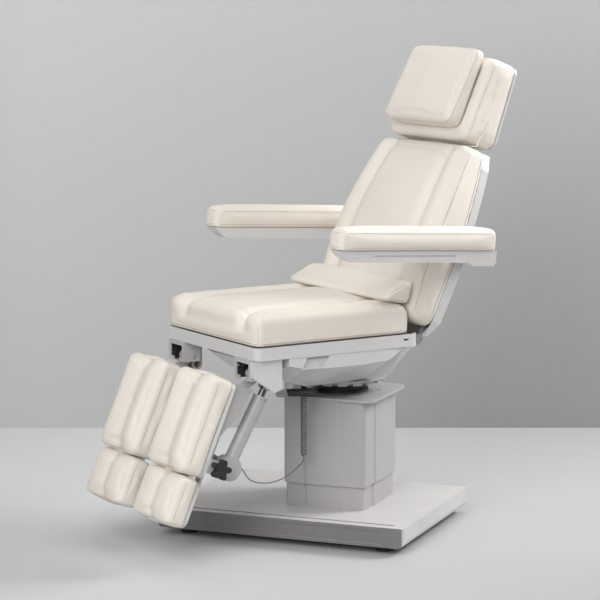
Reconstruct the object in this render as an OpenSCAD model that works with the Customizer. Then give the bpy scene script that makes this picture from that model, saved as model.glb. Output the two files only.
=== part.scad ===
// Podiatry chair: a swivelling, lifting treatment chair with a reclining back,
// two separate leg rests with pull-out foot pads, folding armrests and a headrest.
// Millimetres, +Z up, the sitter faces -Y. The base is drawn turned under the seat.

/* [Placement] */
// Swivel axis, to the right of the middle of the footprint
axis_x = 68; // [0:1:140]
// Swivel axis, behind the middle of the footprint
axis_y = 119; // [60:1:200]
// Turn of the base under the seat, degrees
base_turn = -53.4; // [-60:0.1:-45]

/* [Base] */
// Length of the base slab
base_len = 804; // [760:1:900]
// Width of the base slab
base_wid = 624; // [580:1:680]
// Height of the base slab without its feet
base_h = 63; // [56:1:80]
// Gap between the floor and the slab
foot_gap = 22; // [18:1:32]
// How far the middle of the slab lies ahead of the swivel axis
base_shift = 85; // [60:1:110]
// Sheet thickness of the slab cover
base_wall = 3; // [2:0.5:5]
// Radius of the slab's upright corners
base_corner = 10; // [4:1:24]
// Radius of the rolled lower edge at the slab's two ends
base_roll = 20; // [10:1:26]
// Height of the long recess in each long side
recess_h = 42; // [30:1:44]
// Depth of the long recess
recess_deep = 4; // [2:0.5:6]
// Plain margin between the recess and the slab's end
recess_margin = 72; // [40:1:100]
// Width of the low border round the slab's top
border_w = 34; // [20:1:60]
// Depth of the low border
border_deep = 2; // [1:0.5:3]
// Radius of a levelling foot
foot_r = 26; // [18:1:32]
// Thickness of a levelling foot's pad
foot_pad_h = 11; // [8:1:14]
// Radius of a levelling screw
foot_screw_r = 6; // [4:0.5:8]
// Distance of the feet from the slab's edges
foot_inset = 62; // [55:1:90]

/* [Column] */
// Width of the upper shroud, across the base
shroud_wid = 302; // [296:1:310]
// Length of the upper shroud, along the base
shroud_len = 276; // [270:1:284]
// Sheet thickness of the shrouds
shroud_wall = 2.5; // [1.5:0.5:3]
// Radius of the shroud's upright corners
shroud_corner = 16; // [10:1:24]
// Gap between the two shrouds
shroud_gap = 4.5; // [4:0.5:6]
// Height of the raised band in each shroud face
band_proud = 4; // [2:0.5:5]
// Width of the raised band
band_w = 98; // [70:1:120]
// Slope length of the band's edges
band_slope = 9; // [5:1:14]
// Height of the upper shroud
upper_h = 266; // [250:1:280]
// Height of the lower shroud
lower_h = 275; // [262:1:278]
// Underside of the top plate above the floor
plate_z = 424; // [418:1:430]
// Side of the top plate, across the base
plate_wid = 322; // [316:1:330]
// Side of the top plate, along the base
plate_len = 328; // [316:1:334]
// Thickness of the top plate
plate_t = 8; // [6:1:9]
// Corner radius of the top plate
plate_corner = 34; // [32:1:40]
// Side of the outer guide column
guide_side = 120; // [110:1:128]
// Wall of the guide columns
guide_wall = 6; // [4:1:8]

/* [Turntable] */
// Radius of the fixed race
race_r = 86; // [76:1:96]
// Radius of the turning disc
disc_r = 141; // [130:1:146]
// Height of the race above the top plate
race_h = 32; // [28:1:34]
// Height of the slotted lower ring of the disc
disc_ring_h = 10; // [8:1:11]
// Height of the disc's upper plate
disc_plate_h = 6; // [5:1:7]
// Radius of the swivel spigot
spigot_r = 30; // [24:1:36]

/* [Seat] */
// Width of the seat cushion
seat_w = 540; // [520:1:560]
// Front edge of the seat cushion, ahead of the swivel axis
seat_front = 462; // [452:1:470]
// Rear edge of the seat cushion, behind the swivel axis
seat_back = 81; // [70:1:82]
// Underside of the seat cushion above the floor
seat_z = 636; // [632:1:642]
// Thickness of the seat cushion at its edge
seat_t = 92; // [84:1:98]
// Extra height of the seat cushion at its middle
seat_crown = 14; // [8:1:18]
// Depth of the two sewn channels in the seat
seat_channel = 16; // [4:1:20]
// Wall of the moulded seat pan
pan_wall = 4; // [3:0.5:5]
// Height of the pan's rim
pan_rim_h = 38; // [34:1:42]
// How far the rim stands out past the cushion
pan_proud = 4; // [2:1:8]
// Height of the tilt pin above the floor
tilt_z = 535; // [530:1:540]
// Tilt pin, behind the swivel axis
tilt_y = 50; // [44:1:56]
// Radius of every hinge pin
pin_r = 8; // [6:0.5:9]
// Length of every hinge pin
pin_len = 84; // [80:1:88]
// Distance of the leg and back hinges from the middle
hinge_x = 200; // [196:1:204]

/* [Leg rests] */
// Leg hinge, ahead of the swivel axis
leg_y = 430; // [426:1:434]
// Leg hinge above the floor
leg_z = 548; // [545:1:551]
// Forward lean of the leg rests from the vertical, degrees
leg_lean = 23.4; // [18:0.1:26]
// Inner edge of each leg cushion from the middle
leg_in = 38; // [30:1:46]
// Outer edge of each leg cushion from the middle
leg_out = 264; // [262:1:268]
// Length of the calf cushion
calf_len = 294; // [285:1:300]
// Thickness of the calf cushion at its edge
calf_t = 68; // [56:1:78]
// Extra thickness of the leg cushions at their middle
calf_crown = 14; // [4:1:20]
// Depth of the middle channel of the leg cushions
calf_channel = 16; // [6:1:24]
// Length of the foot cushion
foot_len = 145; // [130:1:160]
// Thickness of the foot cushion at its edge
toe_t = 50; // [40:1:60]
// Gap between the calf and foot cushions
foot_gap_z = 8; // [5:1:14]
// Thickness of the leg shells
leg_shell_t = 12; // [9:1:13]
// Radius of the star knob
knob_r = 31; // [26:1:34]

/* [Leg drive] */
// Distance of the leg drive from the middle
drive_x = 215; // [212:1:218]
// Radius of the drive's outer tube
drive_r = 21; // [18:1:23]
// Radius of the drive's rod
rod_r = 11; // [8:1:13]
// Radius of the rounded end housing
housing_r = 37; // [32:1:37]
// Thickness of the end housing
housing_w = 42; // [34:1:43]

/* [Backrest] */
// Backrest hinge, behind the swivel axis
back_y = 125; // [122:1:128]
// Backrest hinge above the floor
back_z = 612; // [610:1:614]
// Lean of the backrest from the vertical, degrees
back_lean = 23.5; // [22:0.1:26]
// Height of the backrest along its own slope
back_len = 612; // [600:1:616]
// Width of the backrest at its lower end
back_w_low = 540; // [520:1:546]
// Width of the backrest half way up
back_w_mid = 554; // [540:1:558]
// Width of the backrest at its top
back_w_top = 474; // [440:1:500]
// Cushion face ahead of the hinge, at its fullest
back_front = 101; // [92:1:104]
// How much thinner the cushion is at its top
back_thin_top = 38; // [20:1:44]
// Depth of the two sewn channels of the back
back_channel = 14; // [4:1:20]
// How far the cushion's rim reaches behind the hinge line
back_rim = 10; // [8:1:12]
// Depth of the back shell at its rim
back_shell_t = 28; // [26:1:32]
// How much deeper the shell is at its middle
back_shell_belly = 22; // [20:1:26]

/* [Armrests] */
// Inner face of each arm pad from the middle
arm_in = 324; // [318:1:330]
// Width of an arm pad
arm_w = 80; // [70:1:90]
// Length of an arm pad
arm_len = 565; // [540:1:600]
// Thickness of an arm pad
arm_t = 73; // [62:1:78]
// Rise of the arm pads to the front, degrees
arm_pitch = 3.6; // [0:0.1:5]
// Arm pivot above the back hinge along the back
arm_up = 290; // [284:1:296]
// Radius of the arm shaft
arm_shaft_r = 8; // [6:0.5:8]

/* [Headrest] */
// Width of the head cushion
head_w = 424; // [410:1:426]
// Height of the head cushion
head_len = 278; // [260:1:290]
// Gap between the backrest and the head cushion
head_gap = 15; // [14:1:28]
// Thickness of the head cushion at its lower edge
head_t = 130; // [118:1:132]
// Width of the head pillow
pillow_w = 360; // [330:1:380]
// Height of the head pillow
pillow_len = 256; // [236:1:262]
// Thickness of the head pillow at its lower edge
pillow_t = 59; // [50:1:64]

/* [Lumbar cushion] */
// Width of the lumbar cushion
lumbar_w = 566; // [520:1:580]
// Height of the lumbar cushion
lumbar_h = 62; // [54:1:66]
// Depth of the lumbar cushion
lumbar_d = 114; // [100:1:118]

/* [Cord] */
// Thickness of the cord
cord_d = 3.6; // [3:0.1:4]
// Outside diameter of the coiled part
curl_d = 20; // [17:0.5:22]
// Number of curls
curls = 28; // [20:1:32]

/* [Fits] */
// Running clearance round pins and shafts
fit = 0.05; // [0.02:0.01:0.1]
// Clearance between hard parts
clear = 0.4; // [0.3:0.1:1]
// Clearance beside soft parts
soft_clear = 0.6; // [0.3:0.1:1.5]

/* [Hidden] */
$fn = 48;
over = 1;

// Colours
paint = "#e9e8e6";
shell_white = "#f2f1ef";
leather = "#eae3d9";
steel = "#b9bcbf";
dark = "#232426";
chrome = "#d6d8da";

// Levels of the base and column
base_top = foot_gap + base_h;
cover_in = base_top - base_wall - border_deep;
beam_w = 50;
beam_h = 34;
frame_plate = 6;
frame_side = 300;
beam_x = base_wid / 2 - foot_inset;
foot_y = base_len / 2 - foot_inset - base_roll;
plate_top = plate_z + plate_t;
column_gap = 4;
lift_down = 60;

// Turntable levels
disc_z = plate_top + race_h;
disc_top = disc_z + disc_ring_h + disc_plate_h;
spigot_len = race_h + plate_t;
slot_w = 9;
slot_deep = 12;
slots = 18;
race_wall = 22;
bolt_ring_r = 118;
bolt_hole_r = 5;
bolt_count = 6;
bolt_turn = -10;

// Seat pan
pan_half = seat_w / 2 + pan_proud;
pan_front = seat_front + pan_proud;
pan_rear = 105;
pan_corner = 24;
rim_z = seat_z - pan_rim_h;
pan_floor = disc_top + 2;
frame_top = seat_z - clear;
frame_low = rim_z + pan_wall;
rail_w = 36;
rail_end = 90;
cross_w = 30;
cheek_t = 12;
leaf_half = 29;
leaf_r = 16;
yoke_w = 104;
yoke_l = 96;
yoke_base = 8;
yoke_ear = 12;
yoke_gap = 26;
yoke_clear = 12;
finger_deep = 12;

// Leg rest
leg_mid = (leg_in + leg_out) / 2;
leg_w = leg_out - leg_in;
calf_top = 47;
calf_back = 90.5;
calf_low = calf_top + calf_len;
foot_top = calf_low + foot_gap_z;
foot_low = foot_top + foot_len;
shell_back = calf_back - leg_shell_t;
shell_in = 7;
shell_round = 26;
neck_half = 15;
neck_r = 14;
block_half = 46;
block_wall = 8;
block_front = 471;
block_rear = 412;
block_back = 3.2;
block_low = leg_z - 12;
window_h = 38;
arm_x0 = 205;
arm_x1 = 246;
bar_x0 = 164;
bar_x1 = 190;
bar_y = 43;
bar_t = 8;
bar_top = 120;
sleeve_x0 = 156;
sleeve_x1 = 262;
sleeve_back = 30;
sleeve_z = 297;
sleeve_half = 22;
knob_t = 22;
knob_stud_r = 5;
knob_lobes = 5;

// Leg drive, in the leg's own frame and in the chair's
drive_low_y = 11.5;
drive_low_z = 285;
drive_up_y = 31;
drive_up_z = 30;
drive_low = turned([0, drive_low_y, -drive_low_z], -leg_lean);
drive_dy = drive_up_y - drive_low[1];
drive_dz = -drive_up_z - drive_low[2];
drive_lean = atan2(drive_dy, drive_dz);
drive_span = sqrt(drive_dy * drive_dy + drive_dz * drive_dz);
tube_end = 231;
ring_at = [112, 168];
ring_t = 2.5;
ring_proud = 1.2;
seal_t = 4;
seal_proud = 3.5;
rod_hold = 150;
eye_r = 11;
eye_half = 10;
hook_play = 5.4;
cross_pin_r = 5;
clevis_t = 6;
clevis_r = 17;
stub_r = 6;
nipple_r = 5;
nipple_len = 8;

// Back
back_hinge = [0, back_y, back_z];
back_low = 40;
back_thin_low = 25;
belly_z_share = 0.41;
mid_z_share = 0.5;
channel_share = 0.64;
hollow_half = 150;
hollow_low = 236;
hollow_low_z = 110;
board_y = 2;
head_post_x = 60;
head_post_w = 25;
head_post_t = 8;
head_post_y = 12;
head_up = back_len + head_gap;
head_pin_up = 28;
head_pin_y = 30;
head_pin_z = head_up + head_pin_up;
head_pin_r = 9;
arm_shaft_y = 47;

// Cord, its points in the chair's own frame about the swivel axis
gland_x = 107;
gland_y = -201;
gland_len = 28;
gland_r = 9;
curl_top = 446;
curl_low = 262;
curl_end = 254;
lead_points = [
    [107, -201, 254], [107, -201, 252.2], [107, -201, 250.3], [109, -206, 244], [114, -219, 237], [120, -238, 228],
    [128, -262, 218], [137, -290, 210], [148, -321, 206], [159, -353, 206], [171, -385, 211], [183, -415, 219],
    [194, -441, 231], [203, -459, 245], [210, -470, 258], [213, -477, 267], [215, -482, 273],
    [215, -484.5, 274], [215, -486.3, 274], [215, -488.2, 274]
];

// A point turned about the X axis
function turned(p, a) = [p[0], p[1] * cos(a) - p[2] * sin(a), p[1] * sin(a) + p[2] * cos(a)];
function mix(a, b, s) = a + (b - a) * s;
function unit(v) = v / norm(v);

// The backrest's width and the place of its face at a height along it
function ease(u) = 1 - cos(90 * u);
function back_w_at(z) =
    let (m = mid_z_share * back_len)
        z < m ? mix(back_w_low, back_w_mid, 1 - ease(1 - z / m))
            : mix(back_w_mid, back_w_top, ease((z - m) / (back_len - m)));
function back_t_at(z) =
    let (m = belly_z_share * back_len)
        back_front + board_y - (z < m ? back_thin_low * ease(1 - z / m) : back_thin_top * ease((z - m) / (back_len - m)));

// Frames of the chair's parts
module on_axis() {
    translate([axis_x, axis_y, 0]) children();
}
module on_base() {
    on_axis() rotate([0, 0, base_turn]) children();
}
module on_side(s) {
    on_axis() mirror([s < 0 ? 1 : 0, 0, 0]) children();
}
module on_leg(s) {
    on_side(s) translate([0, -leg_y, leg_z]) rotate([-leg_lean, 0, 0]) children();
}
module on_drive(s) {
    on_side(s)
        translate([drive_x, -leg_y + drive_low[1], leg_z + drive_low[2]])
            rotate([-drive_lean, 0, 0]) children();
}
module on_back() {
    on_axis() translate(back_hinge) rotate([-back_lean, 0, 0]) children();
}
module on_arm(s) {
    pivot = turned([0, arm_shaft_y, arm_up], -back_lean) + back_hinge;
    on_side(s) translate([0, pivot[1], pivot[2]]) rotate([-arm_pitch, 0, 0]) children();
}

// Extrude an outline drawn in Y and Z from one X to another
module along_x(x0, x1) {
    translate([x0, 0, 0]) rotate([90, 0, 90]) linear_extrude(x1 - x0) children();
}
// Extrude an outline drawn in X and Z from one Y to another
module along_y(y0, y1) {
    translate([0, y1, 0]) rotate([90, 0, 0]) linear_extrude(y1 - y0) children();
}
// A round bar along X
module bar_x(x0, x1, r) {
    translate([x0, 0, 0]) rotate([0, 90, 0]) cylinder(h = x1 - x0, r = r);
}
// A box between two corners
module block(a, b) {
    translate(a) cube(b - a);
}
// A rectangle with round corners about the origin
module rounded(w, l, r) {
    square([w - 2 * r, l], center = true);
    square([w, l - 2 * r], center = true);
    for (x = [-1, 1], y = [-1, 1])
        translate([x * (w / 2 - r), y * (l / 2 - r)]) circle(r);
}

// A closed skin over rings of points
module skin(rings) {
    n = len(rings[0]);
    m = len(rings);
    sides = [
        for (i = [0:m - 2], j = [0:n - 1])
            let (a = i * n + j, b = i * n + (j + 1) % n)
                each [[a, b, b + n], [a, b + n, a + n]]
    ];
    first = [for (j = [n - 1:-1:0]) j];
    last = [for (j = [0:n - 1]) (m - 1) * n + j];
    polyhedron([for (r = rings) each r], concat(sides, [first, last]), convexity = 8);
}

// Tangents and side vectors of a path, carried along without twist
function tangents(p) = [
    for (i = [0:len(p) - 1])
        unit(p[min(i + 1, len(p) - 1)] - p[max(i - 1, 0)])
];
function carried(t, u0) = [
    for (i = 0, u = unit(u0 - (u0 * t[0]) * t[0]); i < len(t);
         i = i + 1, u = i < len(t) ? unit(u - (u * t[i]) * t[i]) : u) u
];
function tube_rings(p, r, sides, u0) =
    let (t = tangents(p), u = carried(t, u0))
        [for (i = [0:len(p) - 1])
            let (v = cross(u[i], t[i]))
                [for (j = [0:sides - 1]) p[i] + r * (cos(360 * j / sides) * u[i] + sin(360 * j / sides) * v)]];
// Points of a smooth curve through chosen points
function curve_point(p, i, s) =
    let (a = p[max(i - 1, 0)], b = p[i], c = p[i + 1], d = p[min(i + 2, len(p) - 1)])
        0.5 * ((2 * b) + (c - a) * s + (2 * a - 5 * b + 4 * c - d) * s * s + (3 * b - a - 3 * c + d) * s * s * s);
function curve_through(p, steps) = concat(
    [for (i = [0:len(p) - 2], k = [0:steps - 1]) curve_point(p, i, k / steps)],
    [p[len(p) - 1]]
);

// A cushion lying on z = 0, its length along Y.
// w0, w1: widths at its two ends. t0, t1: edge thicknesses at its two ends.
// r: radius of the side edges. r0, r1: radii of the end edges.
// crown: extra height in the middle. draw: how far the sides pull in between the corners.
// chans: places of the sewn channels as shares of the half width, deep and wide their size.
// bow: how far the rim of the underside reaches below z = 0 at a place along the length.
end_turns = [0, 30, 60];
tuck_share = 0.05;
belly_share = 0.4;
corner_share = 0.75;
side_share = 0.62;
board_step = 8;
board_in = 1;
function stations(l, r0, r1, mids) = concat(
    [for (a = end_turns) [-l / 2 + r0 * (1 - cos(a)), 1 - sin(a), r0]],
    [for (i = [0:mids]) [mix(-l / 2 + r0, l / 2 - r1, i / mids), 0, r0]],
    [for (i = [2:-1:0]) [l / 2 - r1 * (1 - cos(end_turns[i])), 1 - sin(end_turns[i]), r1]]
);
function channel_dip(x, half, chans, deep, wide) =
    len(chans) == 0 ? 0 : max([for (c = chans) deep * exp(-pow((x - c * half) / wide, 2))]);
function cushion_ring(y, fall, rend, w, l, t, r, crown, draw, chans, deep, wide, tops, base, hollow) =
    let (
        s = 2 * y / l,
        half = w / 2 - corner_share * r * fall - draw * (1 - s * s),
        edge = t - rend * fall,
        re = min(r, side_share * edge),
        rise = crown * (1 - pow(s, 4)) * (1 - fall * fall),
        dip = 1 - fall * fall,
        foot = half - tuck_share * t,
        board = min(hollow, foot - board_step - board_in),
        right = [
            [foot, -base],
            [half, mix(-base, edge, belly_share)],
            [half, edge - re],
            for (a = [30, 60]) [half - re + re * cos(a), edge - re + re * sin(a)]
        ],
        top = [
            for (i = [0:tops - 1])
                let (x = mix(half - re, re - half, i / (tops - 1)))
                    [x, edge + rise * (1 - pow(x / (half - re), 2))
                        - dip * channel_dip(x, half, chans, deep, wide)]
        ],
        left = [for (i = [len(right) - 1:-1:0]) [-right[i][0], right[i][1]]],
        under = hollow > 0 ? [
            [-board - board_step, -base], [-board, 0], [board, 0], [board + board_step, -base]
        ] : []
    ) [for (p = concat(right, top, left, under)) [p[0], y, p[1]]];
module cushion(w0, w1, l, t0, t1, r, r0, r1, crown, draw, chans = [], deep = 0, wide = 1, tops = 5, mids = 4) {
    skin([
        for (q = stations(l, r0, r1, mids))
            let (s = (q[0] + l / 2) / l)
                cushion_ring(q[0], q[1], q[2], mix(w0, w1, s), l, mix(t0, t1, s), r, crown, draw,
                    chans, deep, wide, tops, 0, 0)
    ]);
}

// Base: sheet cover over a welded frame
recess_in = base_wall + recess_deep;
module slab_side(inset, r) {
    half = base_len / 2 - inset;
    low = foot_gap + inset;
    translate([-half, low + r]) square([2 * half, base_top - low - r]);
    translate([r - half, low]) square([2 * (half - r), base_top - low]);
    for (s = [-1, 1])
        translate([s * (half - r), low + r]) circle(r);
}
module base_cover() {
    color(paint) on_base() translate([0, -base_shift, 0]) difference() {
        intersection() {
            translate([0, 0, foot_gap]) linear_extrude(base_h) rounded(base_wid, base_len, base_corner);
            along_x(-base_wid, base_wid) slab_side(0, base_roll);
        }
        translate([0, 0, base_top - border_deep]) linear_extrude(border_deep + over) difference() {
            square([base_wid + over, base_len + over], center = true);
            rounded(base_wid - 2 * border_w, base_len - 2 * border_w, base_corner);
        }
        intersection() {
            linear_extrude(cover_in) rounded(base_wid - 2 * recess_in, base_len - 2 * base_wall, base_wall);
            along_x(-base_wid, base_wid) slab_side(base_wall, base_roll - base_wall);
        }
        linear_extrude(cover_in) square([base_wid - 2 * recess_in, base_len - 2 * base_roll], center = true);
        translate([0, base_shift, 0]) linear_extrude(2 * base_top)
            rounded(guide_side + 2 * column_gap, guide_side + 2 * column_gap, column_gap);
        for (s = [-1, 1])
            translate([s * base_wid / 2, 0, mix(foot_gap, base_top, recess_mid)]) rotate([0, 90, 0])
                translate([0, 0, -recess_deep]) linear_extrude(2 * recess_deep)
                    rounded(recess_h, base_len - 2 * recess_margin, column_gap);
    }
}
recess_mid = 0.48;
module base_frame() {
    low = cover_in - frame_plate - beam_h;
    reach = foot_y + beam_w / 2;
    cross_y = frame_side / 2 - beam_w;
    color(steel) on_base() difference() {
        union() {
            for (s = [-1, 1]) {
                translate([s * beam_x, -base_shift, low + beam_h / 2]) cube([beam_w, 2 * reach, beam_h], center = true);
                translate([0, s * cross_y, low + beam_h / 2]) cube([2 * beam_x, beam_w, beam_h], center = true);
            }
            translate([0, 0, low + beam_h]) linear_extrude(frame_plate)
                rounded(frame_side, frame_side, base_corner);
        }
        for (x = [-1, 1], y = [-1, 1])
            translate([x * beam_x, y * foot_y - base_shift, 0]) cylinder(h = base_top, r = foot_screw_r + fit);
    }
}
foot_edge = 3;
module level_foot(x, y) {
    color(dark) on_base() translate([x * beam_x, y * foot_y - base_shift, 0]) {
        cylinder(h = foot_pad_h - foot_edge, r = foot_r);
        cylinder(h = foot_pad_h, r = foot_r - foot_edge);
        cylinder(h = cover_in - lift_down / 4, r = foot_screw_r);
        translate([0, 0, foot_pad_h]) cylinder(h = foot_edge, r = 2 * foot_screw_r, $fn = 6);
    }
}
module foot_front_right() {
    level_foot(1, -1);
}
module foot_front_left() {
    level_foot(-1, -1);
}
module foot_rear_right() {
    level_foot(1, 1);
}
module foot_rear_left() {
    level_foot(-1, 1);
}

// Column: two shrouds, a fixed square guide and the square column that rises in it
band_shift = -6;
module shroud_band(out, d) {
    face = out / 2 - band_proud - d;
    polygon([
        [band_shift - band_w / 2 - band_slope, -face / 2],
        [band_shift - band_w / 2 - band_slope, -face],
        [band_shift - band_w / 2, -face - band_proud],
        [band_shift + band_w / 2, -face - band_proud],
        [band_shift + band_w / 2 + band_slope, -face],
        [band_shift + band_w / 2 + band_slope, -face / 2]
    ]);
}
module shroud_outline(d) {
    rounded(shroud_wid - 2 * (band_proud + d), shroud_len - 2 * (band_proud + d), shroud_corner - d);
    for (a = [0, 180])
        rotate(a) shroud_band(shroud_len, d);
    for (a = [90, 270])
        rotate(a) shroud_band(shroud_wid, d);
}
module shroud(d, z0, z1) {
    color(paint) on_base() translate([0, 0, z0]) linear_extrude(z1 - z0) difference() {
        shroud_outline(d);
        shroud_outline(d + shroud_wall);
    }
}
module lower_shroud() {
    shroud(shroud_wall + shroud_gap, base_top, base_top + lower_h);
}
module upper_shroud() {
    shroud(0, plate_z - upper_h, plate_z);
}
module square_tube(side, wall, z0, z1) {
    color(steel) on_base() translate([0, 0, z0]) linear_extrude(z1 - z0) difference() {
        rounded(side, side, wall);
        rounded(side - 2 * wall, side - 2 * wall, wall / 2);
    }
}
module guide_column() {
    square_tube(guide_side, guide_wall, cover_in, base_top + lower_h);
}
module inner_column() {
    square_tube(guide_side - 2 * guide_wall - 2 * clear, guide_wall, cover_in + lift_down + clear, plate_z);
}
module top_plate() {
    color(paint) on_base() translate([0, 0, plate_z]) linear_extrude(plate_t) difference() {
        rounded(plate_wid, plate_len, plate_corner);
        circle(spigot_r + fit);
        for (i = [0:bolt_count - 1])
            rotate(bolt_turn + 360 * i / bolt_count) translate([bolt_ring_r, 0]) circle(bolt_hole_r);
    }
}

// Turntable: a fixed race on the plate, a slotted disc that turns on it
race_foot_h = 8;
race_foot_w = 10;
module turntable_race() {
    color(dark) on_base() translate([0, 0, plate_top]) difference() {
        union() {
            cylinder(h = race_h - clear, r = race_r - race_foot_w);
            cylinder(h = race_foot_h, r = race_r);
            translate([0, 0, race_h - race_foot_h - clear]) cylinder(h = race_foot_h, r = race_r);
        }
        translate([0, 0, -over]) cylinder(h = race_h + 2 * over, r = race_r - race_wall);
    }
}
module turntable_disc() {
    color(paint) on_axis() {
        translate([0, 0, disc_z]) linear_extrude(disc_ring_h) difference() {
            circle(disc_r - slot_deep / 2);
            for (i = [0:slots - 1])
                rotate(360 * i / slots) translate([disc_r - slot_deep, 0]) square([2 * slot_deep, 2 * slot_w], center = true);
        }
        translate([0, 0, disc_z + disc_ring_h]) cylinder(h = disc_plate_h, r = disc_r);
        translate([0, 0, disc_z - spigot_len]) cylinder(h = spigot_len + disc_ring_h, r = spigot_r);
    }
}
module tilt_yoke() {
    ear_top = tilt_z + leaf_r;
    color(steel) on_axis() difference() {
        union() {
            translate([0, tilt_y, disc_top]) linear_extrude(yoke_base) rounded(yoke_w, yoke_l, yoke_base);
            for (s = [0, 1]) mirror([s, 0, 0]) {
                along_x(yoke_gap, yoke_gap + yoke_ear)
                    translate([tilt_y - leaf_r, disc_top]) square([2 * leaf_r, tilt_z - disc_top]);
                translate([0, tilt_y, tilt_z]) bar_x(yoke_gap, yoke_gap + yoke_ear, leaf_r);
            }
        }
        translate([0, tilt_y, tilt_z]) bar_x(-yoke_w, yoke_w, pin_r + fit);
    }
}

// Seat: welded frame, sheet pan with a deep hull, cushion
module side_pair() {
    children();
    mirror([1, 0, 0]) children();
}
module seat_frame() {
    cheek_out = yoke_gap - clear;
    fork_in = leaf_half + clear;
    color(steel) on_axis() difference() {
        union() {
            for (s = [-1, 1])
                block([s * hinge_x - rail_w / 2, rail_front - leg_y - block_half, frame_low], [s * hinge_x + rail_w / 2, rail_end, frame_top]);
            for (y = [rail_front - leg_y - block_half, cross_mid])
                block([-hinge_x, y, frame_low], [hinge_x, y + cross_w, frame_top]);
            block([-hinge_x - pin_len / 2, rail_end - cross_w, frame_low], [hinge_x + pin_len / 2, rail_end, frame_top]);
            side_pair() {
                along_x(cheek_out - cheek_t, cheek_out)
                    polygon([
                        [tilt_y - leaf_r, tilt_z - leaf_r], [tilt_y + leaf_r, tilt_z - leaf_r],
                        [rail_end, frame_low], [rail_end, frame_top], [tilt_y - 2 * leaf_r, frame_top]
                    ]);
                for (x = [-fork_in - cheek_t, fork_in])
                    along_x(hinge_x + x, hinge_x + x + cheek_t) {
                        translate([rail_end - beam_slip, back_z - leaf_r]) square([back_y - rail_end + beam_slip, 2 * leaf_r]);
                        translate([back_y, back_z]) circle(leaf_r);
                    }
                block([drive_mid_x - leaf_r, cross_mid, drive_mid_z], [drive_mid_x + leaf_r, cross_mid + cross_w, frame_low + over]);
            }
        }
        translate([0, tilt_y, tilt_z]) bar_x(-yoke_w, yoke_w, pin_r + fit);
        translate([0, back_y, back_z]) bar_x(-seat_w, seat_w, pin_r + fit);
        side_pair() translate([drive_mid_x, cross_mid + cross_w, drive_mid_z]) rotate([90, 0, 0])
            cylinder(h = seat_w, r = motor_tube_r + fit, center = true);
    }
}
rail_front = 36;
cross_mid = -115;
beam_slip = 6;
drive_mid_x = 115;
drive_mid_z = 556;
motor_tube_r = 18;
motor_r = 28;
// Hull sections: place along the chair, step in from the rim at the ridge, height of the ridge,
// half width of the floor, height of the floor
hull_rows = [
    [-352, 2, 575, 200, 556], [-300, 2, 562, 170, 508], [-220, 2, 558, 150, 484],
    [-100, 2, 557, 135, 482], [0, 2, 564, 130, 482], [50, 6, 592, 190, 500],
    [90, 12, 612, 170, 530], [104, 18, 620, 160, 556]
];
hull_join = 3;
module hull_skin(inset, top) {
    last = len(hull_rows) - 1;
    skin([
        for (i = [0:last])
            let (q = hull_rows[i], y = q[0] + (i == 0 ? inset : i == last ? -inset : 0), w = pan_half - q[1] - inset, b = q[3] - inset,
                zr = min(q[2] + inset / 2, rim_z + hull_join / 2), zb = q[4] + inset)
                [[w, y, zr], [w, y, top], [-w, y, top], [-w, y, zr], [-b, y, zb], [b, y, zb]]
    ]);
}
module pan_rim(inset) {
    l = pan_front + pan_rear - 2 * inset;
    translate([0, (pan_rear - pan_front) / 2]) rounded(2 * (pan_half - inset), l, pan_corner - inset);
}
finger_mid = -260;
finger_rows = [[-310, 560], [-222, 560], [-210, 590], [-295, 590]];
slot_at = [50, 68];
slot_z = [617, 623];
module seat_pan() {
    color(shell_white) on_axis() difference() {
        union() {
            difference() {
                union() {
                    translate([0, 0, rim_z]) linear_extrude(pan_rim_h) pan_rim(0);
                    hull_skin(0, rim_z + hull_join);
                }
                hull_skin(pan_wall, frame_low + over);
                translate([0, 0, frame_low]) linear_extrude(pan_rim_h) pan_rim(pan_wall);
            }
            side_pair() {
                along_x(pan_half - 2 * finger_deep, pan_half - hull_join) polygon(finger_rows);
                translate([gland_x, gland_y, pan_floor]) cylinder(h = 2 * pan_wall, r = gland_r + pan_wall);
            }
            translate([lever_at[0], lever_at[1], pan_floor - pan_wall]) cylinder(h = lever_boss, r = 2 * lever_pin_r);
        }
        block([-yoke_w / 2 - yoke_clear, tilt_y - yoke_l / 2 - yoke_clear, pan_floor - 2 * pan_wall],
            [yoke_w / 2 + yoke_clear, tilt_y + yoke_l / 2 - yoke_clear / 2, tilt_z + yoke_clear]);
        side_pair() {
            block([hinge_x - leaf_half - leaf_r - cheek_t / 3, rail_end - hull_join, rim_z - pan_wall],
                [hinge_x + leaf_half + leaf_r + cheek_t / 3, pan_rear + over, seat_z + over]);
            along_x(pan_half - finger_deep, pan_half + finger_deep)
                polygon([for (p = finger_rows) [p[0] + (p[0] < finger_mid ? pan_wall : -pan_wall), p[1] + pan_wall]]);
            block([pan_half - 2 * pan_wall, slot_at[0], slot_z[0]], [pan_half + over, slot_at[1], slot_z[1]]);
        }
        translate([lever_at[0], lever_at[1], 0]) cylinder(h = pan_floor + lever_boss / 2, r = lever_pin_r + fit);
    }
}
lever_at = [116, -259];
lever_pin_r = 7;
lever_boss = 22;
lever_z = 464;
lever_grip_r = 13.5;
lever_len = 84;
lever_turn = 58.2;
lever_ribs = [10, 20, 30];
lever_rib_t = 4;
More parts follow.
